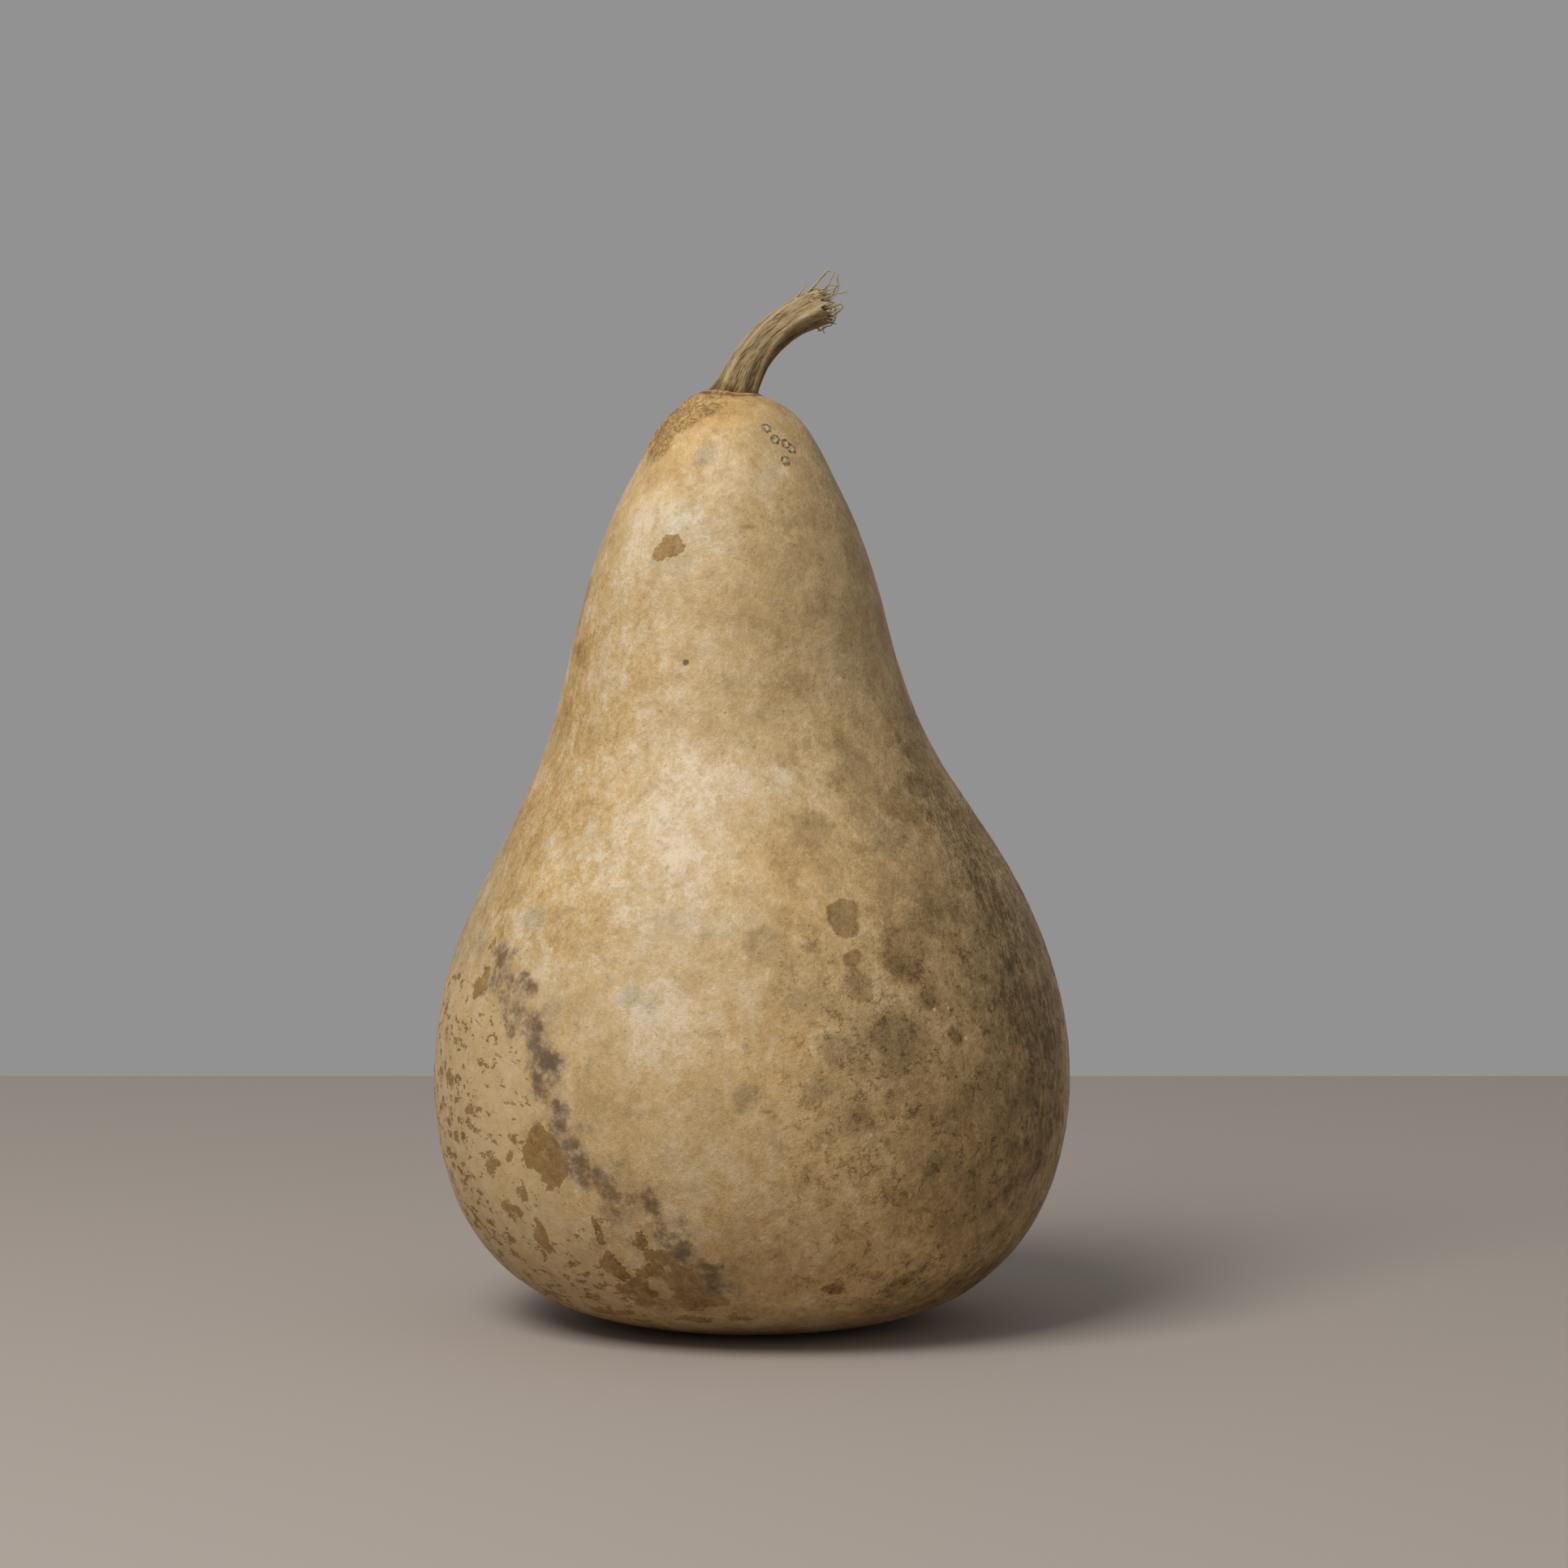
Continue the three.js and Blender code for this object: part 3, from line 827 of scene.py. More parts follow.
def skin_relief():
    """How far each point of the skin stands out, in mm."""
    across = np.radians(skin.azimuth) * skin.radius
    flat = np.stack([across, skin.along + 0 * across, 0 * across], -1)
    sway = 2.0 * fractal(skin.places, 16, 2, 71)
    relief = 0.4 * fractal(skin.places, 60, 2, 72) + 0.14 * fractal(skin.places, 24, 2, 73)
    grained = flat * (1, 0.24, 1) + sway[..., None] * (1, 0, 0)
    relief += FLANK_RIDGES * marks.flank * (ridges(grained, 3.4, 2, 74) - 0.5)
    relief += 0.12 * (1 - marks.flank) * fractal(skin.places * (1, 1, 0.7), 7, 2, 75)
    slanted = flat * (1, 0.5, 1) + sway[..., None] * (0.4, 0.5, 0)
    relief += BARK_RIDGES * smoothstep(-0.5, 1, marks.bark) * (ridges(slanted, 2.8, 2, 76) - 0.2)
    relief += PATCH_STEP * smoothstep(-0.6, 0.6, marks.patch)
    relief -= PEELED_STEP * smoothstep(-0.8, 0.8, marks.peeled)
    relief -= CREASE_DEPTH * marks.crease
    for azimuth, height in RING_SPOTS:
        distance = reach(skin.offsets(azimuth, height), RING_RADIUS, RING_RADIUS)
        relief += RING_HEIGHT * np.exp(-(distance**4))
    relief -= PIT_DEPTH * np.exp(-(reach(skin.offsets(*PIT), *PIT_HALF_SIZES) ** 2))
    # The skin climbs a little where the stem grows out of it, more on the side away from the bend.
    outer_side = np.clip(-np.sin(skin.turn), 0, 1)
    beyond_foot = np.maximum(skin.from_stem - 6, 0) / (2 + 6 * outer_side)
    relief += (0.6 + 0.85 * outer_side) * np.exp(-(beyond_foot**2)) * (skin.height > CROWN_FROM)
    return relief * smoothstep(0.5, 9, skin.height)


def raised_skin():
    """The skin's points in mm, with its relief, and with the blossom scar in the base."""
    places = skin.places + skin.normals() * skin_relief()[..., None]
    scar = 1 - smoothstep(0.55, 1.0, skin.radius / SCAR_RADIUS)
    places[..., 2] += SCAR_DEPTH * scar * (skin.height < 0.01)
    places[..., 2] = np.maximum(places[..., 2], 0)
    return places


finished_skin = raised_skin()

# --- Materials ---------------------------------------------------------------------------


class Nodes:
    """The nodes of one material, added and joined from code."""

    def __init__(self, name):
        self.material = bpy.data.materials.new(name)
        self.material.use_nodes = True
        self.tree = self.material.node_tree
        self.shader = self.tree.nodes["Principled BSDF"]
        self.place = self.add("ShaderNodeTexCoord").outputs["Object"]

    def add(self, kind, **settings):
        node = self.tree.nodes.new(kind)
        for key, value in settings.items():
            setattr(node, key, value)
        return node

    def feed(self, socket, value):
        """Joins a socket to a node's output, or sets it to a plain value."""
        if isinstance(value, bpy.types.NodeSocket):
            self.tree.links.new(value, socket)
        elif isinstance(value, tuple) and len(socket.default_value) == 4:
            socket.default_value = (*value, 1.0)
        else:
            socket.default_value = value

    def math(self, operation, *values):
        node = self.add("ShaderNodeMath", operation=operation)
        for socket, value in zip(node.inputs, values):
            self.feed(socket, value)
        return node.outputs[0]

    def plus(self, a, b):
        return self.math("ADD", a, b)

    def times(self, a, b):
        return self.math("MULTIPLY", a, b)

    def times_plus(self, a, b, c):
        return self.math("MULTIPLY_ADD", a, b, c)

    def fade(self, value, low, high, first=0.0, last=1.0):
        """first below low, last above high, smooth between."""
        node = self.add("ShaderNodeMapRange", interpolation_type="SMOOTHSTEP")
        for key, number in (("Value", value), ("From Min", low), ("From Max", high)):
            self.feed(node.inputs[key], number)
        node.inputs["To Min"].default_value = first
        node.inputs["To Max"].default_value = last
        return node.outputs["Result"]

    def blend(self, factor, a, b, kind="MIX"):
        node = self.add("ShaderNodeMix", data_type="RGBA", blend_type=kind)
        colours = [socket for socket in node.inputs if socket.type == "RGBA"]
        self.feed(node.inputs["Factor"], factor)
        self.feed(colours[0], a)
        self.feed(colours[1], b)
        return next(socket for socket in node.outputs if socket.type == "RGBA")

    def scaled(self, place, size, seed, stretch=(1, 1, 1)):
        """A place in metres in units of size mm, shifted to a corner of its own by the seed."""
        node = self.add("ShaderNodeVectorMath", operation="MULTIPLY_ADD")
        self.feed(node.inputs[0], place)
        node.inputs[1].default_value = [1 / (size * MM * s) for s in stretch]
        node.inputs[2].default_value = (seed * 7.1, seed * 3.3, seed * 5.7)
        return node.outputs[0]

    def noise(self, size, detail=2.0, seed=0.0, stretch=(1, 1, 1), place=None, rough=0.55):
        """Smooth random values about 0.5, with features about size mm across in a place in metres."""
        node = self.add("ShaderNodeTexNoise")
        self.feed(node.inputs["Vector"], self.scaled(place or self.place, size, seed, stretch))
        node.inputs["Scale"].default_value = 1.0
        node.inputs["Detail"].default_value = detail
        node.inputs["Roughness"].default_value = rough
        return node.outputs["Fac"]

    def cells(self, size, seed):
        """Distance from the middle of the nearest of many round cells, as a share of their size."""
        node = self.add("ShaderNodeTexVoronoi", feature="SMOOTH_F1")
        self.feed(node.inputs["Vector"], self.scaled(self.place, size, seed))
        node.inputs["Scale"].default_value = 1.0
        node.inputs["Smoothness"].default_value = 0.4
        return node.outputs["Distance"]

    def read(self, name, output="Fac"):
        """A field stored on the piece's points."""
        return self.add("ShaderNodeAttribute", attribute_name=name).outputs[output]

    def lines(self, value, width):
        """1 along the middle values of a noise, fading to 0 at width from them."""
        return self.fade(self.math("ABSOLUTE", self.plus(value, -0.5)), 0.0, width, 1.0, 0.0)

    def ramp(self, value, stops):
        node = self.add("ShaderNodeValToRGB")
        points = node.color_ramp.elements
        points[0].position, points[1].position = stops[0][0], stops[-1][0]
        for position, _ in stops[1:-1]:
            points.new(position)
        for point, (_, colour) in zip(points, stops):
            point.color = (*colour, 1.0)
        self.feed(node.inputs["Fac"], value)
        return node.outputs["Color"]

    def nearest(self, places):
        """Distance in mm to the nearest of a few places given in metres."""
        found = None
        for place in places:
            node = self.add("ShaderNodeVectorMath", operation="DISTANCE")
            self.feed(node.inputs[0], self.place)
            node.inputs[1].default_value = place
            distance = node.outputs["Value"]
            found = distance if found is None else self.math("MINIMUM", found, distance)
        return self.times(found, 1 / MM)

    def bump(self, height_mm):
        node = self.add("ShaderNodeBump")
        node.inputs["Distance"].default_value = MM
        self.feed(node.inputs["Height"], height_mm)
        self.feed(self.shader.inputs["Normal"], node.outputs["Normal"])


# Colours of the skin by tone, of the mould, and the tints of the greyest and the warmest skin.
SKIN_TONES = (
    (0.0, (0.134, 0.080, 0.030)),
    (0.25, (0.256, 0.165, 0.066)),
    (0.5, (0.397, 0.266, 0.116)),
    (0.7, (0.522, 0.363, 0.167)),
    (0.85, (0.610, 0.445, 0.234)),
    (1.0, (0.709, 0.558, 0.346)),
)
GREY_MOULD = (
    (0.0, (0.125, 0.086, 0.055)),
    (0.5, (0.262, 0.184, 0.115)),
    (1.0, (0.430, 0.315, 0.195)),
)
BROWN_MOULD = (
    (0.0, (0.145, 0.088, 0.040)),
    (0.5, (0.280, 0.180, 0.082)),
    (1.0, (0.450, 0.310, 0.150)),
)
GREY_TINT = (0.89, 1.0, 1.26)
OCHRE_TINT = (1.12, 1.0, 0.80)


def skin_places(spots):
    """Points of the finished skin, in metres, at azimuths and heights."""
    found = []
    for azimuth, height in spots:
        across, along = skin.offsets(azimuth, height)
        k = np.unravel_index(np.argmin(across**2 + along**2), across.shape)
        found.append(tuple(finished_skin[k] * MM))
    return found


class SkinColours(Nodes):
    """The skin's material: stains change its tone and warmth in turn, which then make the colour."""

    def __init__(self):
        super().__init__("gourd_skin")
        self.tone = self.read("tone")
        self.warmth = self.read("warmth")
        self.drift = self.read("drift", "Vector")
        self.edge = self.plus(self.noise(2.2, 5, 10, rough=0.72), -0.5)
        self.peeled = self.fade(self.times_plus(self.edge, 3.0, self.read("peeled")), -0.2, 0.2)
        self.add_mottling()
        self.add_grain()
        self.add_spots()
        self.add_freckles()
        self.add_bark()
        self.add_old_skin()
        self.add_small_marks()
        self.add_ring_spots()
        self.set_colour()
        self.set_relief()

    def shade(self, cover, amount):
        self.tone = self.times_plus(cover, amount, self.tone)

    def lay(self, cover, tone, warmth):
        """Lays a stain with a tone and warmth of its own over the skin."""
        self.tone = self.times_plus(cover, self.math("SUBTRACT", tone, self.tone), self.tone)
        self.warmth = self.times_plus(cover, self.math("SUBTRACT", warmth, self.warmth), self.warmth)

    def add_mottling(self):
        """Unevenness of every size from a few millimetres down to pores. Darker means warmer."""
        weathered = self.times(self.read("contrast"), self.times_plus(self.peeled, -0.45, 1.0))
        clouds = self.plus(self.noise(8, 5, 2, (1, 1, 1.15), rough=0.96), -0.5)
        plates = self.fade(self.noise(21, 5, 3, rough=0.66), 0.5, 0.53, 0.04, -0.04)
        self.mottle = self.times(self.times_plus(clouds, 1.2, plates), weathered)
        self.tone = self.plus(self.tone, self.mottle)
        hue = self.plus(self.noise(8, 4, 4, rough=0.75), -0.5)
        self.warmth = self.times_plus(hue, 0.5, self.warmth)
        darker = self.times(self.mottle, -1.0)
        self.warmth = self.times_plus(darker, self.read("hues"), self.warmth)

    def add_grain(self):
        """Upright wood-like grain on the weathered flank and, fainter, on the left shoulder."""
        streaks = self.noise(1.7, 4, 5, (1, 1, 7), place=self.drift, rough=0.68)
        self.grain = self.times(self.read("flank"), self.fade(streaks, 0.34, 0.66, -0.5, 0.5))
        self.shade(self.grain, 0.34)
        self.warmth = self.times_plus(self.grain, -0.5, self.warmth)

    def add_spots(self):
        """Soft-bordered spots, a little darker at the rim."""
        spot = self.times_plus(self.edge, 3.2, self.read("spot"))
        cover = self.times(self.fade(spot, -1.1, 1.0), self.read("spot_cover"))
        rim = self.times(self.fade(spot, -0.4, 0.3), self.fade(spot, 0.5, 1.5, 1.0, 0.0))
        tone = self.times_plus(self.mottle, 0.8, self.read("spot_tone"))
        self.lay(cover, self.times_plus(rim, -0.04, tone), self.read("spot_warmth"))

    def add_freckles(self):
        """Small freckles and short squiggly lines on the lower right."""
        where = self.read("freckle")
        freckles = self.fade(self.noise(2.9, 4, 6, rough=0.75), 0.565, 0.6)
        self.shade(self.times(freckles, where), -0.17)
        squiggles = self.lines(self.noise(5, 3, 16, rough=0.65), 0.045)
        pieces = self.fade(self.noise(5, 3, 17), 0.52, 0.56)
        self.shade(self.times(self.times(squiggles, pieces), where), -0.34)

    def add_bark(self):
        """Bark-like skin beside the stem, with darker worm-like lines."""
        self.bark = self.fade(self.times_plus(self.edge, 4.0, self.read("bark")), -1.2, 2.2)
        worms = self.lines(self.noise(2.0, 4, 13, (1, 1, 2.4), place=self.drift), 0.045)
        tone = self.times_plus(worms, -0.17, self.times_plus(self.mottle, 1.6, 0.43))
        self.lay(self.times(self.bark, 0.82), tone, 1.0)
        self.worms = self.times(self.bark, worms)

    def add_old_skin(self):
        """Crisp ochre-brown patches and flecks of old outer skin, darker where the skin is darker."""
        patch = self.fade(self.times_plus(self.edge, 5.4, self.read("patch")), -0.12, 0.12)
        flakes = self.noise(3.2, 5, 11, (1.35, 1.35, 0.8), rough=0.72)
        island = self.times_plus(self.read("fleck"), 0.12, flakes)
        fleck = self.times(self.fade(island, 0.635, 0.647), self.peeled)
        self.brown = self.math("MAXIMUM", patch, fleck)
        tone = self.times_plus(self.mottle, 0.8, self.fade(island, 0.5, 0.8, 0.07, -0.04))
        self.lay(self.brown, self.times_plus(self.tone, 0.3, tone), 0.9)

    def add_small_marks(self):
        """Pinhead dots, pale scuffs and creases."""
        self.shade(self.fade(self.noise(1.0, 1, 12), 0.70, 0.75), -0.26)
        scuffs = self.noise(0.9, 2, 14, (1, 1, 7), place=self.drift)
        self.shade(self.fade(scuffs, 0.66, 0.74), 0.07)
        self.shade(self.fade(self.read("crease"), 0.15, 0.9), -0.42)

    def add_ring_spots(self):
        """Ring spots with a speckled pale middle, then the pit and a few stray pale specks."""
        ring = self.times_plus(self.edge, 0.9, self.nearest(skin_places(RING_SPOTS)))
        self.ring = self.times(self.fade(ring, 0.6, 1.05), self.fade(ring, 1.3, 1.75, 1.0, 0.0))
        speckled = self.fade(self.noise(0.8, 2, 15), 0.42, 0.58, 0.42, 0.9)
        tone = self.times_plus(self.ring, -0.42, speckled)
        self.lay(self.fade(ring, 1.4, 1.8, 1.0, 0.0), tone, -0.05)
        self.shade(self.fade(self.nearest(skin_places([PIT])), 0.5, 1.15, 1.0, 0.0), -0.8)
        self.shade(self.fade(self.nearest(skin_places(SPECKS)), 0.3, 0.6, 1.0, 0.0), 0.5)

    def mould(self):
        """Cover and colour of the mould: a haze with darker cores and paler cells."""
        cloudy = self.plus(self.noise(4.4, 5, 7, rough=0.75), -0.5)
        mould = self.times_plus(cloudy, 2.3, self.read("mould"))
        bare = self.times_plus(self.brown, -0.55, 1.0)
        cover = self.times(self.fade(mould, 0.0, 0.82, 0.0, 0.95), bare)
        cells = self.fade(self.cells(2.4, 8), 0.08, 0.42, 0.25, -0.05)
        tone = self.plus(cells, self.fade(mould, 0.15, 1.2, 0.85, 0.04))
        hue = self.fade(self.noise(6, 3, 9), 0.44, 0.6)
        return cover, self.blend(hue, self.ramp(tone, GREY_MOULD), self.ramp(tone, BROWN_MOULD))

    def set_colour(self):
        tint = self.blend(self.fade(self.warmth, -0.3, 1.15), GREY_TINT, OCHRE_TINT)
        dry = self.blend(1.0, self.ramp(self.tone, SKIN_TONES), tint, "MULTIPLY")
        cover, mould = self.mould()
        self.feed(self.shader.inputs["Base Color"], self.blend(cover, dry, mould))
        dull = self.math("MAXIMUM", self.math("MAXIMUM", self.brown, self.bark), cover)
        roughness = self.times_plus(dull, 0.12, self.times_plus(self.mottle, -0.5, 0.5))
        self.feed(self.shader.inputs["Roughness"], roughness)
        self.shader.inputs["Specular IOR Level"].default_value = 0.25

    def set_relief(self):
        relief = self.times(self.mottle, 0.35)
        raised = ((self.grain, 0.5), (self.worms, -0.2), (self.brown, 0.06))
        for cover, height in (*raised, (self.peeled, -0.05), (self.ring, -0.08)):
            relief = self.times_plus(cover, height, relief)
        self.bump(relief)


def make_skin():
    poles = [(0, 0, SCAR_DEPTH), (skin.top_middle, 0, skin.top)]
    piece = grid_mesh("fruit_skin", finished_skin, skin.uv_rows, poles)
    for name, values in vars(marks).items():
        paint(piece, name, values, (values[0, 0], values[-1, 0]))
    # Places shifted by a slow wander, so that the flank's grain sways.
    sway = fractal(finished_skin, 22, 2, 81)[..., None] * (3.0, 3.0, 0)
    store_places(piece, "drift", finished_skin + sway, poles)
    piece.data.materials.append(SkinColours().material)
    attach(piece, "root")
    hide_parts("fruit")


# --- Stem --------------------------------------------------------------------------------

# Ribs: turn about the stem at the foot and at the torn end, in degrees, and height in mm. Turn 0 is
# the inside of the bend and -90 is the front.
RIBS = (
    (-26, -90, 0.68),
    (-78, -108, 0.4),
    (-128, -155, 0.5),
    (180, 165, 0.6),
    (125, 110, 0.6),
    (75, 50, 0.66),
    (25, -30, 0.6),
)
RIB_WIDTH = 13.0
PITH_DEPTH = 2.2
END_ROWS = 9

# Long fibres of the torn end: start and end radius, how far in front of the middle, and places
# across and above the middle of the end, all in mm.
LONG_FIBRES = (
    (0.3, 0.12, 0.4, ((-8.2, 1.5), (-7.2, 2.9), (-6.3, 4.3), (-5.3, 5.6))),
    (0.38, 0.2, 0.0, ((-6.2, 2.3), (-4.8, 3.7), (-2.8, 5.7), (-1.0, 7.8), (0.4, 9.3), (1.1, 9.2))),
    (0.34, 0.16, 1.4, (
        (-5.0, 2.6), (-3.5, 3.5), (-2.1, 4.1), (-1.0, 4.3),
        (0.4, 5.4), (1.2, 6.7), (1.5, 7.5), (2.4, 9.0),
    )),
    (0.2, 0.1, 1.4, ((-0.4, 4.7), (0.4, 5.3), (1.5, 5.6), (2.4, 5.5), (3.3, 5.6), (4.1, 5.4))),
    (0.28, 0.14, -0.8, ((0.4, 1.8), (2.2, 3.9), (2.6, 4.9), (3.3, 6.0), (3.1, 7.2), (3.3, 8.6))),
    (0.2, 0.12, -0.8, ((2.4, 3.3), (3.1, 4.1), (3.4, 5.2), (3.3, 6.0))),
    (0.36, 0.14, 1.0, (
        (-2.4, 0.6), (-0.6, 1.6), (1.3, 2.9), (2.7, 3.4),
        (4.1, 3.5), (5.1, 3.9), (5.6, 3.5),
    )),
    (0.28, 0.14, 2.2, ((-1.4, 0.0), (0.5, 1.0), (2.0, 2.5), (3.1, 3.4))),
    (0.3, 0.14, -0.4, ((-3.2, 1.6), (-1.7, 2.5), (0.0, 2.9), (1.3, 3.4), (2.7, 3.5))),
    (0.26, 0.14, 0.6, ((-0.6, 0.6), (1.3, 1.1), (2.3, 0.9))),
    (0.3, 0.16, 1.8, (
        (-0.6, -1.0), (1.3, -0.4), (2.2, -0.2), (3.1, 0.3), (4.0, 0.5),
        (4.5, -0.2), (4.0, -0.8), (3.0, -0.6), (2.3, -0.4),
    )),
    (0.28, 0.16, 1.8, ((4.0, -0.8), (3.3, -1.5), (2.6, -2.6), (2.5, -3.6), (1.9, -4.4), (1.3, -5.2))),
    (0.3, 0.18, 0.8, (
        (-4.2, -5.0), (-2.8, -5.5), (-2.0, -5.9), (-1.4, -6.5),
        (-0.7, -5.9), (0.1, -5.5), (1.3, -5.2),
    )),
    (0.22, 0.1, 0.8, ((-1.4, -6.3), (-2.1, -6.8))),
    (0.22, 0.1, 0.8, ((-0.8, -6.0), (-0.3, -7.3))),
    (0.4, 0.16, 4.3, ((-4.2, 1.6), (-3.0, 0.7), (-2.7, -0.1), (-2.2, -0.5))),
    (0.3, 0.14, 3.0, ((-1.0, -3.6), (0.6, -3.4), (2.0, -3.0), (2.6, -3.2))),
    (0.3, 0.14, 2.4, ((-1.2, -2.0), (0.8, -1.8), (2.4, -1.2), (3.0, -0.6))),
)
SHORT_FIBRES = 34
SHORT_FIBRES_SEED = 5


class Stem:
    """The stem's middle line, as points with the directions across, back and ahead at each."""

    def __init__(self, count):
        foot = np.array([skin.top_middle + FOOT_OFFSET, 0, skin.top - FOOT_SUNK])
        self.tip = foot + (STEM_REACH, STEM_TURN, STEM_HEIGHT + FOOT_SUNK)
        leave, arrive = math.radians(FOOT_SLOPE), math.radians(TIP_SLOPE)
        near = foot + np.array([math.cos(leave), 0, math.sin(leave)]) * (FOOT_BOW + FOOT_SUNK)
        far = self.tip - np.array([math.cos(arrive), 0, math.sin(arrive)]) * TIP_BOW
        share = np.linspace(0, 1, CURVE_POINTS)[:, None]
        rest = 1 - share
        line = rest**3 * foot + 3 * rest**2 * share * near
        line = line + 3 * rest * share**2 * far + share**3 * self.tip
        travelled = np.concatenate([[0], np.cumsum(np.linalg.norm(np.diff(line, axis=0), axis=1))])
        self.length = travelled[-1]
        self.along = np.linspace(0, self.length, count)
        self.line = np.stack([np.interp(self.along, travelled, line[:, i]) for i in range(3)], -1)
        ahead = np.gradient(self.line, axis=0)
        self.ahead = ahead / np.linalg.norm(ahead, axis=1, keepdims=True)
        across = np.cross((0, 1, 0), self.ahead)
        self.across = across / np.linalg.norm(across, axis=1, keepdims=True)
        self.depth = np.cross(self.ahead, self.across)

    def shell(self, turn, radius, ahead):
        """Points around the middle line at turns, radii and extra distances ahead, row by row."""
        around = np.cos(turn)[..., None] * self.across[:, None]
        around = around + np.sin(turn)[..., None] * self.depth[:, None]
        return self.line[:, None] + around * radius[..., None] + self.ahead[:, None] * ahead[..., None]


def rib_relief(turn, share):
    """How strongly each point of the shaft lies on a rib, in mm of height."""
    found = np.zeros(np.broadcast(turn, share).shape)
    for foot_turn, tip_turn, height in RIBS:
        middle = np.radians(foot_turn + ((tip_turn - foot_turn + 180) % 360 - 180) * share)
        middle = middle + 0.05 * np.sin(share * 9 + foot_turn)
        gap = (turn - middle + math.pi) % (2 * math.pi) - math.pi
        found += height * np.exp(-((gap / math.radians(RIB_WIDTH)) ** 2))
    return found


def shaft_radius(above, share, turn):
    """Radius of the shaft before its ribs: flared at the foot, more on the outside of the bend."""
    outside = np.clip(-np.cos(turn), 0, 1)
    flare = np.maximum(above, -1.5)
    radius = STEM_RADIUS + FOOT_SPREAD * np.exp(-((flare / FOOT_LENGTH) ** 2))
    radius = radius + ROOT_SPREAD * (1 + outside) * np.exp(-flare / ROOT_LENGTH)
    return radius + TIP_SWELL * smoothstep(0.6, 1, share)


def sunken_end(stem, rim):
    """Rings that close the torn end, sunk and ragged towards its middle."""
    middle = stem.line[-1]
    for i in range(1, END_ROWS + 1):
        inward = i / (END_ROWS + 1)
        sunk = PITH_DEPTH * (1 - (1 - inward) ** 2) + 0.35 * fractal(rim, 0.9, 2, 95 + i)
        yield middle + (rim - middle) * (1 - inward) - sunk[:, None] * stem.ahead[-1]


def make_shaft():
    """The ribbed stem, flared at the foot and closed by a sunken, ragged end."""
    stem = Stem(SHAFT_RINGS)
    turn = (np.arange(SHAFT_SIDES) / SHAFT_SIDES * 2 * math.pi)[None, :]
    above = (stem.along - FOOT_SUNK)[:, None]
    share = np.clip(above / (stem.length - FOOT_SUNK), 0, 1)
    # The shaft as if it were straight, so that its grain runs along it.
    unbent = np.stack([np.cos(turn) + 0 * above, np.sin(turn) + 0 * above, 0 * turn + above], -1)
    unbent = unbent * (STEM_RADIUS, STEM_RADIUS, 1)
    ribs = rib_relief(turn, share)
    strands = fractal(unbent * (1, 1, 0.13), 0.62, 2, 91)
    cracks = ridges(unbent * (1, 1, 0.17), 1.5, 2, 92)
    lumps = fractal(unbent * (1, 1, 0.5), 3.2, 2, 93)
    groove = smoothstep(0.62, 0.95, cracks) * (1 - smoothstep(0.2, 0.5, ribs))
    radius = shaft_radius(above, share, turn) + RIB_LIFT * ribs - RIB_BASE
    radius = radius + STRAND_DEPTH * strands + LUMP_DEPTH * lumps - GROOVE_DEPTH * groove
    jags = fractal(unbent[-1] * (1, 1, 0), 1.1, 3, 94)
    torn = smoothstep(stem.length - TORN_LENGTH, stem.length, stem.along)[:, None]
    shell = stem.shell(turn, radius, torn * (TORN_DEPTH * jags - 0.5))
    places = np.concatenate([shell, list(sunken_end(stem, shell[-1]))])
    poles = np.array([stem.line[0], stem.line[-1] - PITH_DEPTH * stem.ahead[-1]])
    piece = grid_mesh("stem_shaft", places, np.linspace(0.02, 0.98, len(places)), poles)
    inside = np.repeat(unbent[-1:], END_ROWS, axis=0) * np.linspace(0.9, 0.1, END_ROWS)[:, None, None]
    store_places(piece, "unbent", np.vstack([unbent, inside]), np.zeros((2, 3)))
    fields = {"rib": ribs / 0.6, "groove": groove}
    # Painted shade: the stem's underside, on the inside of its bend, is darkened in colour where the
    # lamp leaves it in shade.
    fields["painted_underside_shade"] = smoothstep(0.1, 0.75, np.cos(turn - 0.35)) * smoothstep(-0.1, 0.25, share)
    fields["low"] = 1 - smoothstep(0.2, 7, above + 0 * turn)
    for name, values in fields.items():
        filled = np.vstack([values, np.full((END_ROWS, SHAFT_SIDES), 0.2)])
        paint(piece, name, filled, (0, 0))
    return piece


def smooth_route(route, steps=5):
    """A Catmull-Rom curve through the places of a route."""
    places = np.array(route)
    padded = np.vstack([2 * places[0] - places[1], places, 2 * places[-1] - places[-2]])
    found = []
    for i in range(len(places) - 1):
        a, b, c, d = padded[i : i + 4]
        for t in np.arange(steps) / steps:
            square = (2 * a - 5 * b + 4 * c - d) * t**2
            cube = (3 * b - a - 3 * c + d) * t**3
            found.append(0.5 * (2 * b + (c - a) * t + square + cube))
    return np.array([*found, places[-1]])


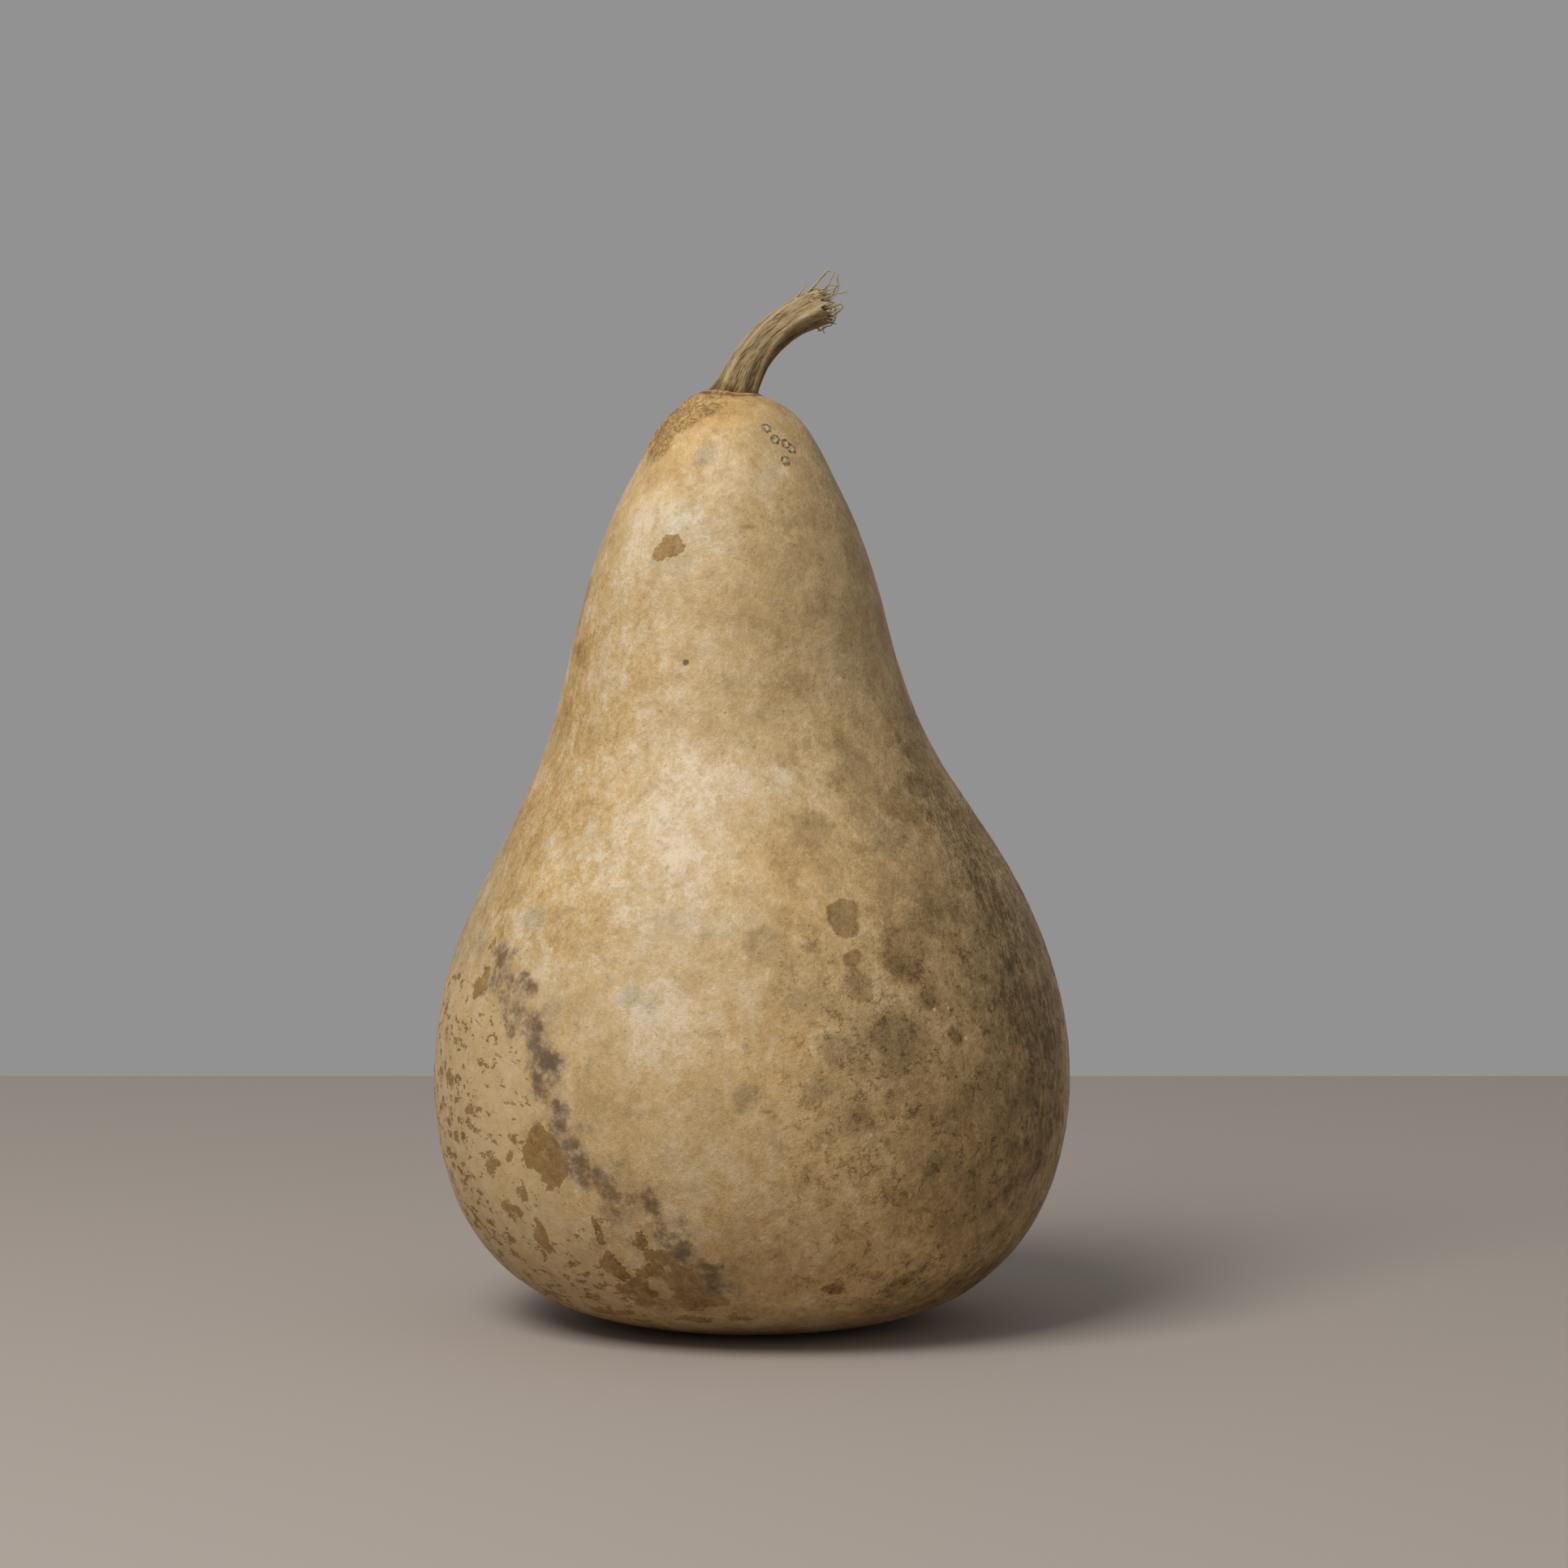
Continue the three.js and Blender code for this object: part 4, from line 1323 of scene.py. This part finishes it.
def tube(route, first_radius, last_radius, sides=6):
    """Points and faces of a closed tapering tube."""
    line = smooth_route(route)
    ahead = np.gradient(line, axis=0)
    ahead /= np.linalg.norm(ahead, axis=1, keepdims=True)
    across = np.cross(ahead, (0.3, 0.9, 0.2))
    across /= np.linalg.norm(across, axis=1, keepdims=True)
    other = np.cross(ahead, across)
    shares = np.linspace(0, 1, len(line))
    radius = first_radius + (last_radius - first_radius) * shares
    radius = radius * (1 + 0.22 * np.sin(shares * 17 + first_radius * 90))
    points = [line[0]]
    for i in range(len(line)):
        for j in range(sides):
            turn = 2 * math.pi * j / sides
            points.append(line[i] + radius[i] * (across[i] * math.cos(turn) + other[i] * math.sin(turn)))
    points.append(line[-1] + ahead[-1] * radius[-1])
    last = len(points) - 1
    faces = []
    for j in range(sides):
        k = (j + 1) % sides
        faces.append((0, 1 + k, 1 + j))
        for i in range(len(line) - 1):
            low, high = 1 + i * sides, 1 + (i + 1) * sides
            faces.append((low + j, low + k, high + k, high + j))
        faces.append((last - sides + j, last - sides + k, last))
    return points, faces


def fibre_routes():
    """Routes in mm of every fibre, with its two radii: the long ones, then short ones by chance."""
    stem = Stem(40)
    for first, last, in_front, route in LONG_FIBRES:
        yield [stem.tip + (across, -in_front, up) for across, up in route], first, last
    random = np.random.default_rng(SHORT_FIBRES_SEED)
    for _ in range(SHORT_FIBRES):
        turn = random.uniform(0, 2 * math.pi)
        out = random.uniform(0.3, 0.97)
        around = math.cos(turn) * stem.across[-1] + math.sin(turn) * stem.depth[-1]
        start = stem.tip + around * (STEM_RADIUS + TIP_SWELL) * out - stem.ahead[-1] * 2.6
        length = random.uniform(3.0, 5.2)
        sway = around * random.uniform(-0.1, 0.4) + random.normal(0, 0.16, 3)
        middle = start + stem.ahead[-1] * length * 0.6 + sway * length * 0.3
        end = start + stem.ahead[-1] * length + sway * length
        yield [start, middle, end], random.uniform(0.2, 0.42), random.uniform(0.08, 0.16)


def make_fibres():
    """All the fibres of the torn end as one piece."""
    points, faces = [], []
    for route, first, last in fibre_routes():
        more, sides = tube(route, first, last)
        faces += [tuple(len(points) + k for k in face) for face in sides]
        points += more
    mesh = bpy.data.meshes.new("torn_fibres")
    mesh.from_pydata((np.array(points) * MM).tolist(), [], faces)
    mesh.polygons.foreach_set("use_smooth", np.ones(len(faces), bool))
    mesh.update()
    piece = add_object("torn_fibres", mesh)
    store_places(piece, "unbent", np.array(points), np.zeros((0, 3)))
    ridge = mesh.attributes.new("rib", "FLOAT", "POINT")
    ridge.data.foreach_set("value", np.full(len(points), 0.95, np.float32))
    return piece


STEM_TONES = (
    (0.0, (0.070, 0.047, 0.024)),
    (0.3, (0.195, 0.134, 0.063)),
    (0.6, (0.362, 0.260, 0.130)),
    (1.0, (0.560, 0.425, 0.245)),
)
FOOT_TONES = (
    (0.0, (0.075, 0.042, 0.016)),
    (0.4, (0.250, 0.157, 0.060)),
    (1.0, (0.600, 0.420, 0.200)),
)


def stem_material():
    n = Nodes("stem_fibre")
    place = n.read("unbent", "Vector")
    rib, groove, low = n.read("rib"), n.read("groove"), n.read("low")
    strands = n.noise(0.55, 3, 1, (1, 1, 9), place=place, rough=0.6)
    broken = n.noise(0.9, 4, 2, (1, 1, 2.6), place=place, rough=0.7)
    patches = n.noise(3.4, 3, 3, (1, 1, 2), place=place, rough=0.6)
    tone = n.times_plus(n.fade(strands, 0.3, 0.7, -0.5, 0.5), 0.22, 0.49)
    tone = n.times_plus(n.fade(broken, 0.38, 0.62, -0.5, 0.5), 0.17, tone)
    tone = n.times_plus(n.fade(patches, 0.35, 0.65, -0.5, 0.5), 0.07, tone)
    tone = n.times_plus(n.fade(rib, 0.3, 1.0), 0.26, tone)
    tone = n.times_plus(groove, -0.09, tone)
    tone = n.times_plus(low, -0.08, tone)
    tone = n.times_plus(n.fade(low, 0.72, 1.0), -0.24, tone)
    # Painted shade: darkens the stem's underside, on the inside of its bend.
    tone = n.times_plus(n.read("painted_underside_shade"), -0.3, tone)
    colour = n.blend(n.times(low, 0.8), n.ramp(tone, STEM_TONES), n.ramp(tone, FOOT_TONES))
    n.feed(n.shader.inputs["Base Color"], colour)
    n.shader.inputs["Roughness"].default_value = 0.82
    n.shader.inputs["Specular IOR Level"].default_value = 0.2
    relief = n.times_plus(strands, 0.22, n.times(broken, 0.16))
    n.bump(n.times_plus(groove, -0.2, relief))
    return n.material


def make_stem():
    """The shaft and its fibres, in one material."""
    material = stem_material()
    for piece in (make_shaft(), make_fibres()):
        piece.data.materials.append(material)
        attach(piece, "root")
        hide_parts("stem")


make_skin()
make_stem()
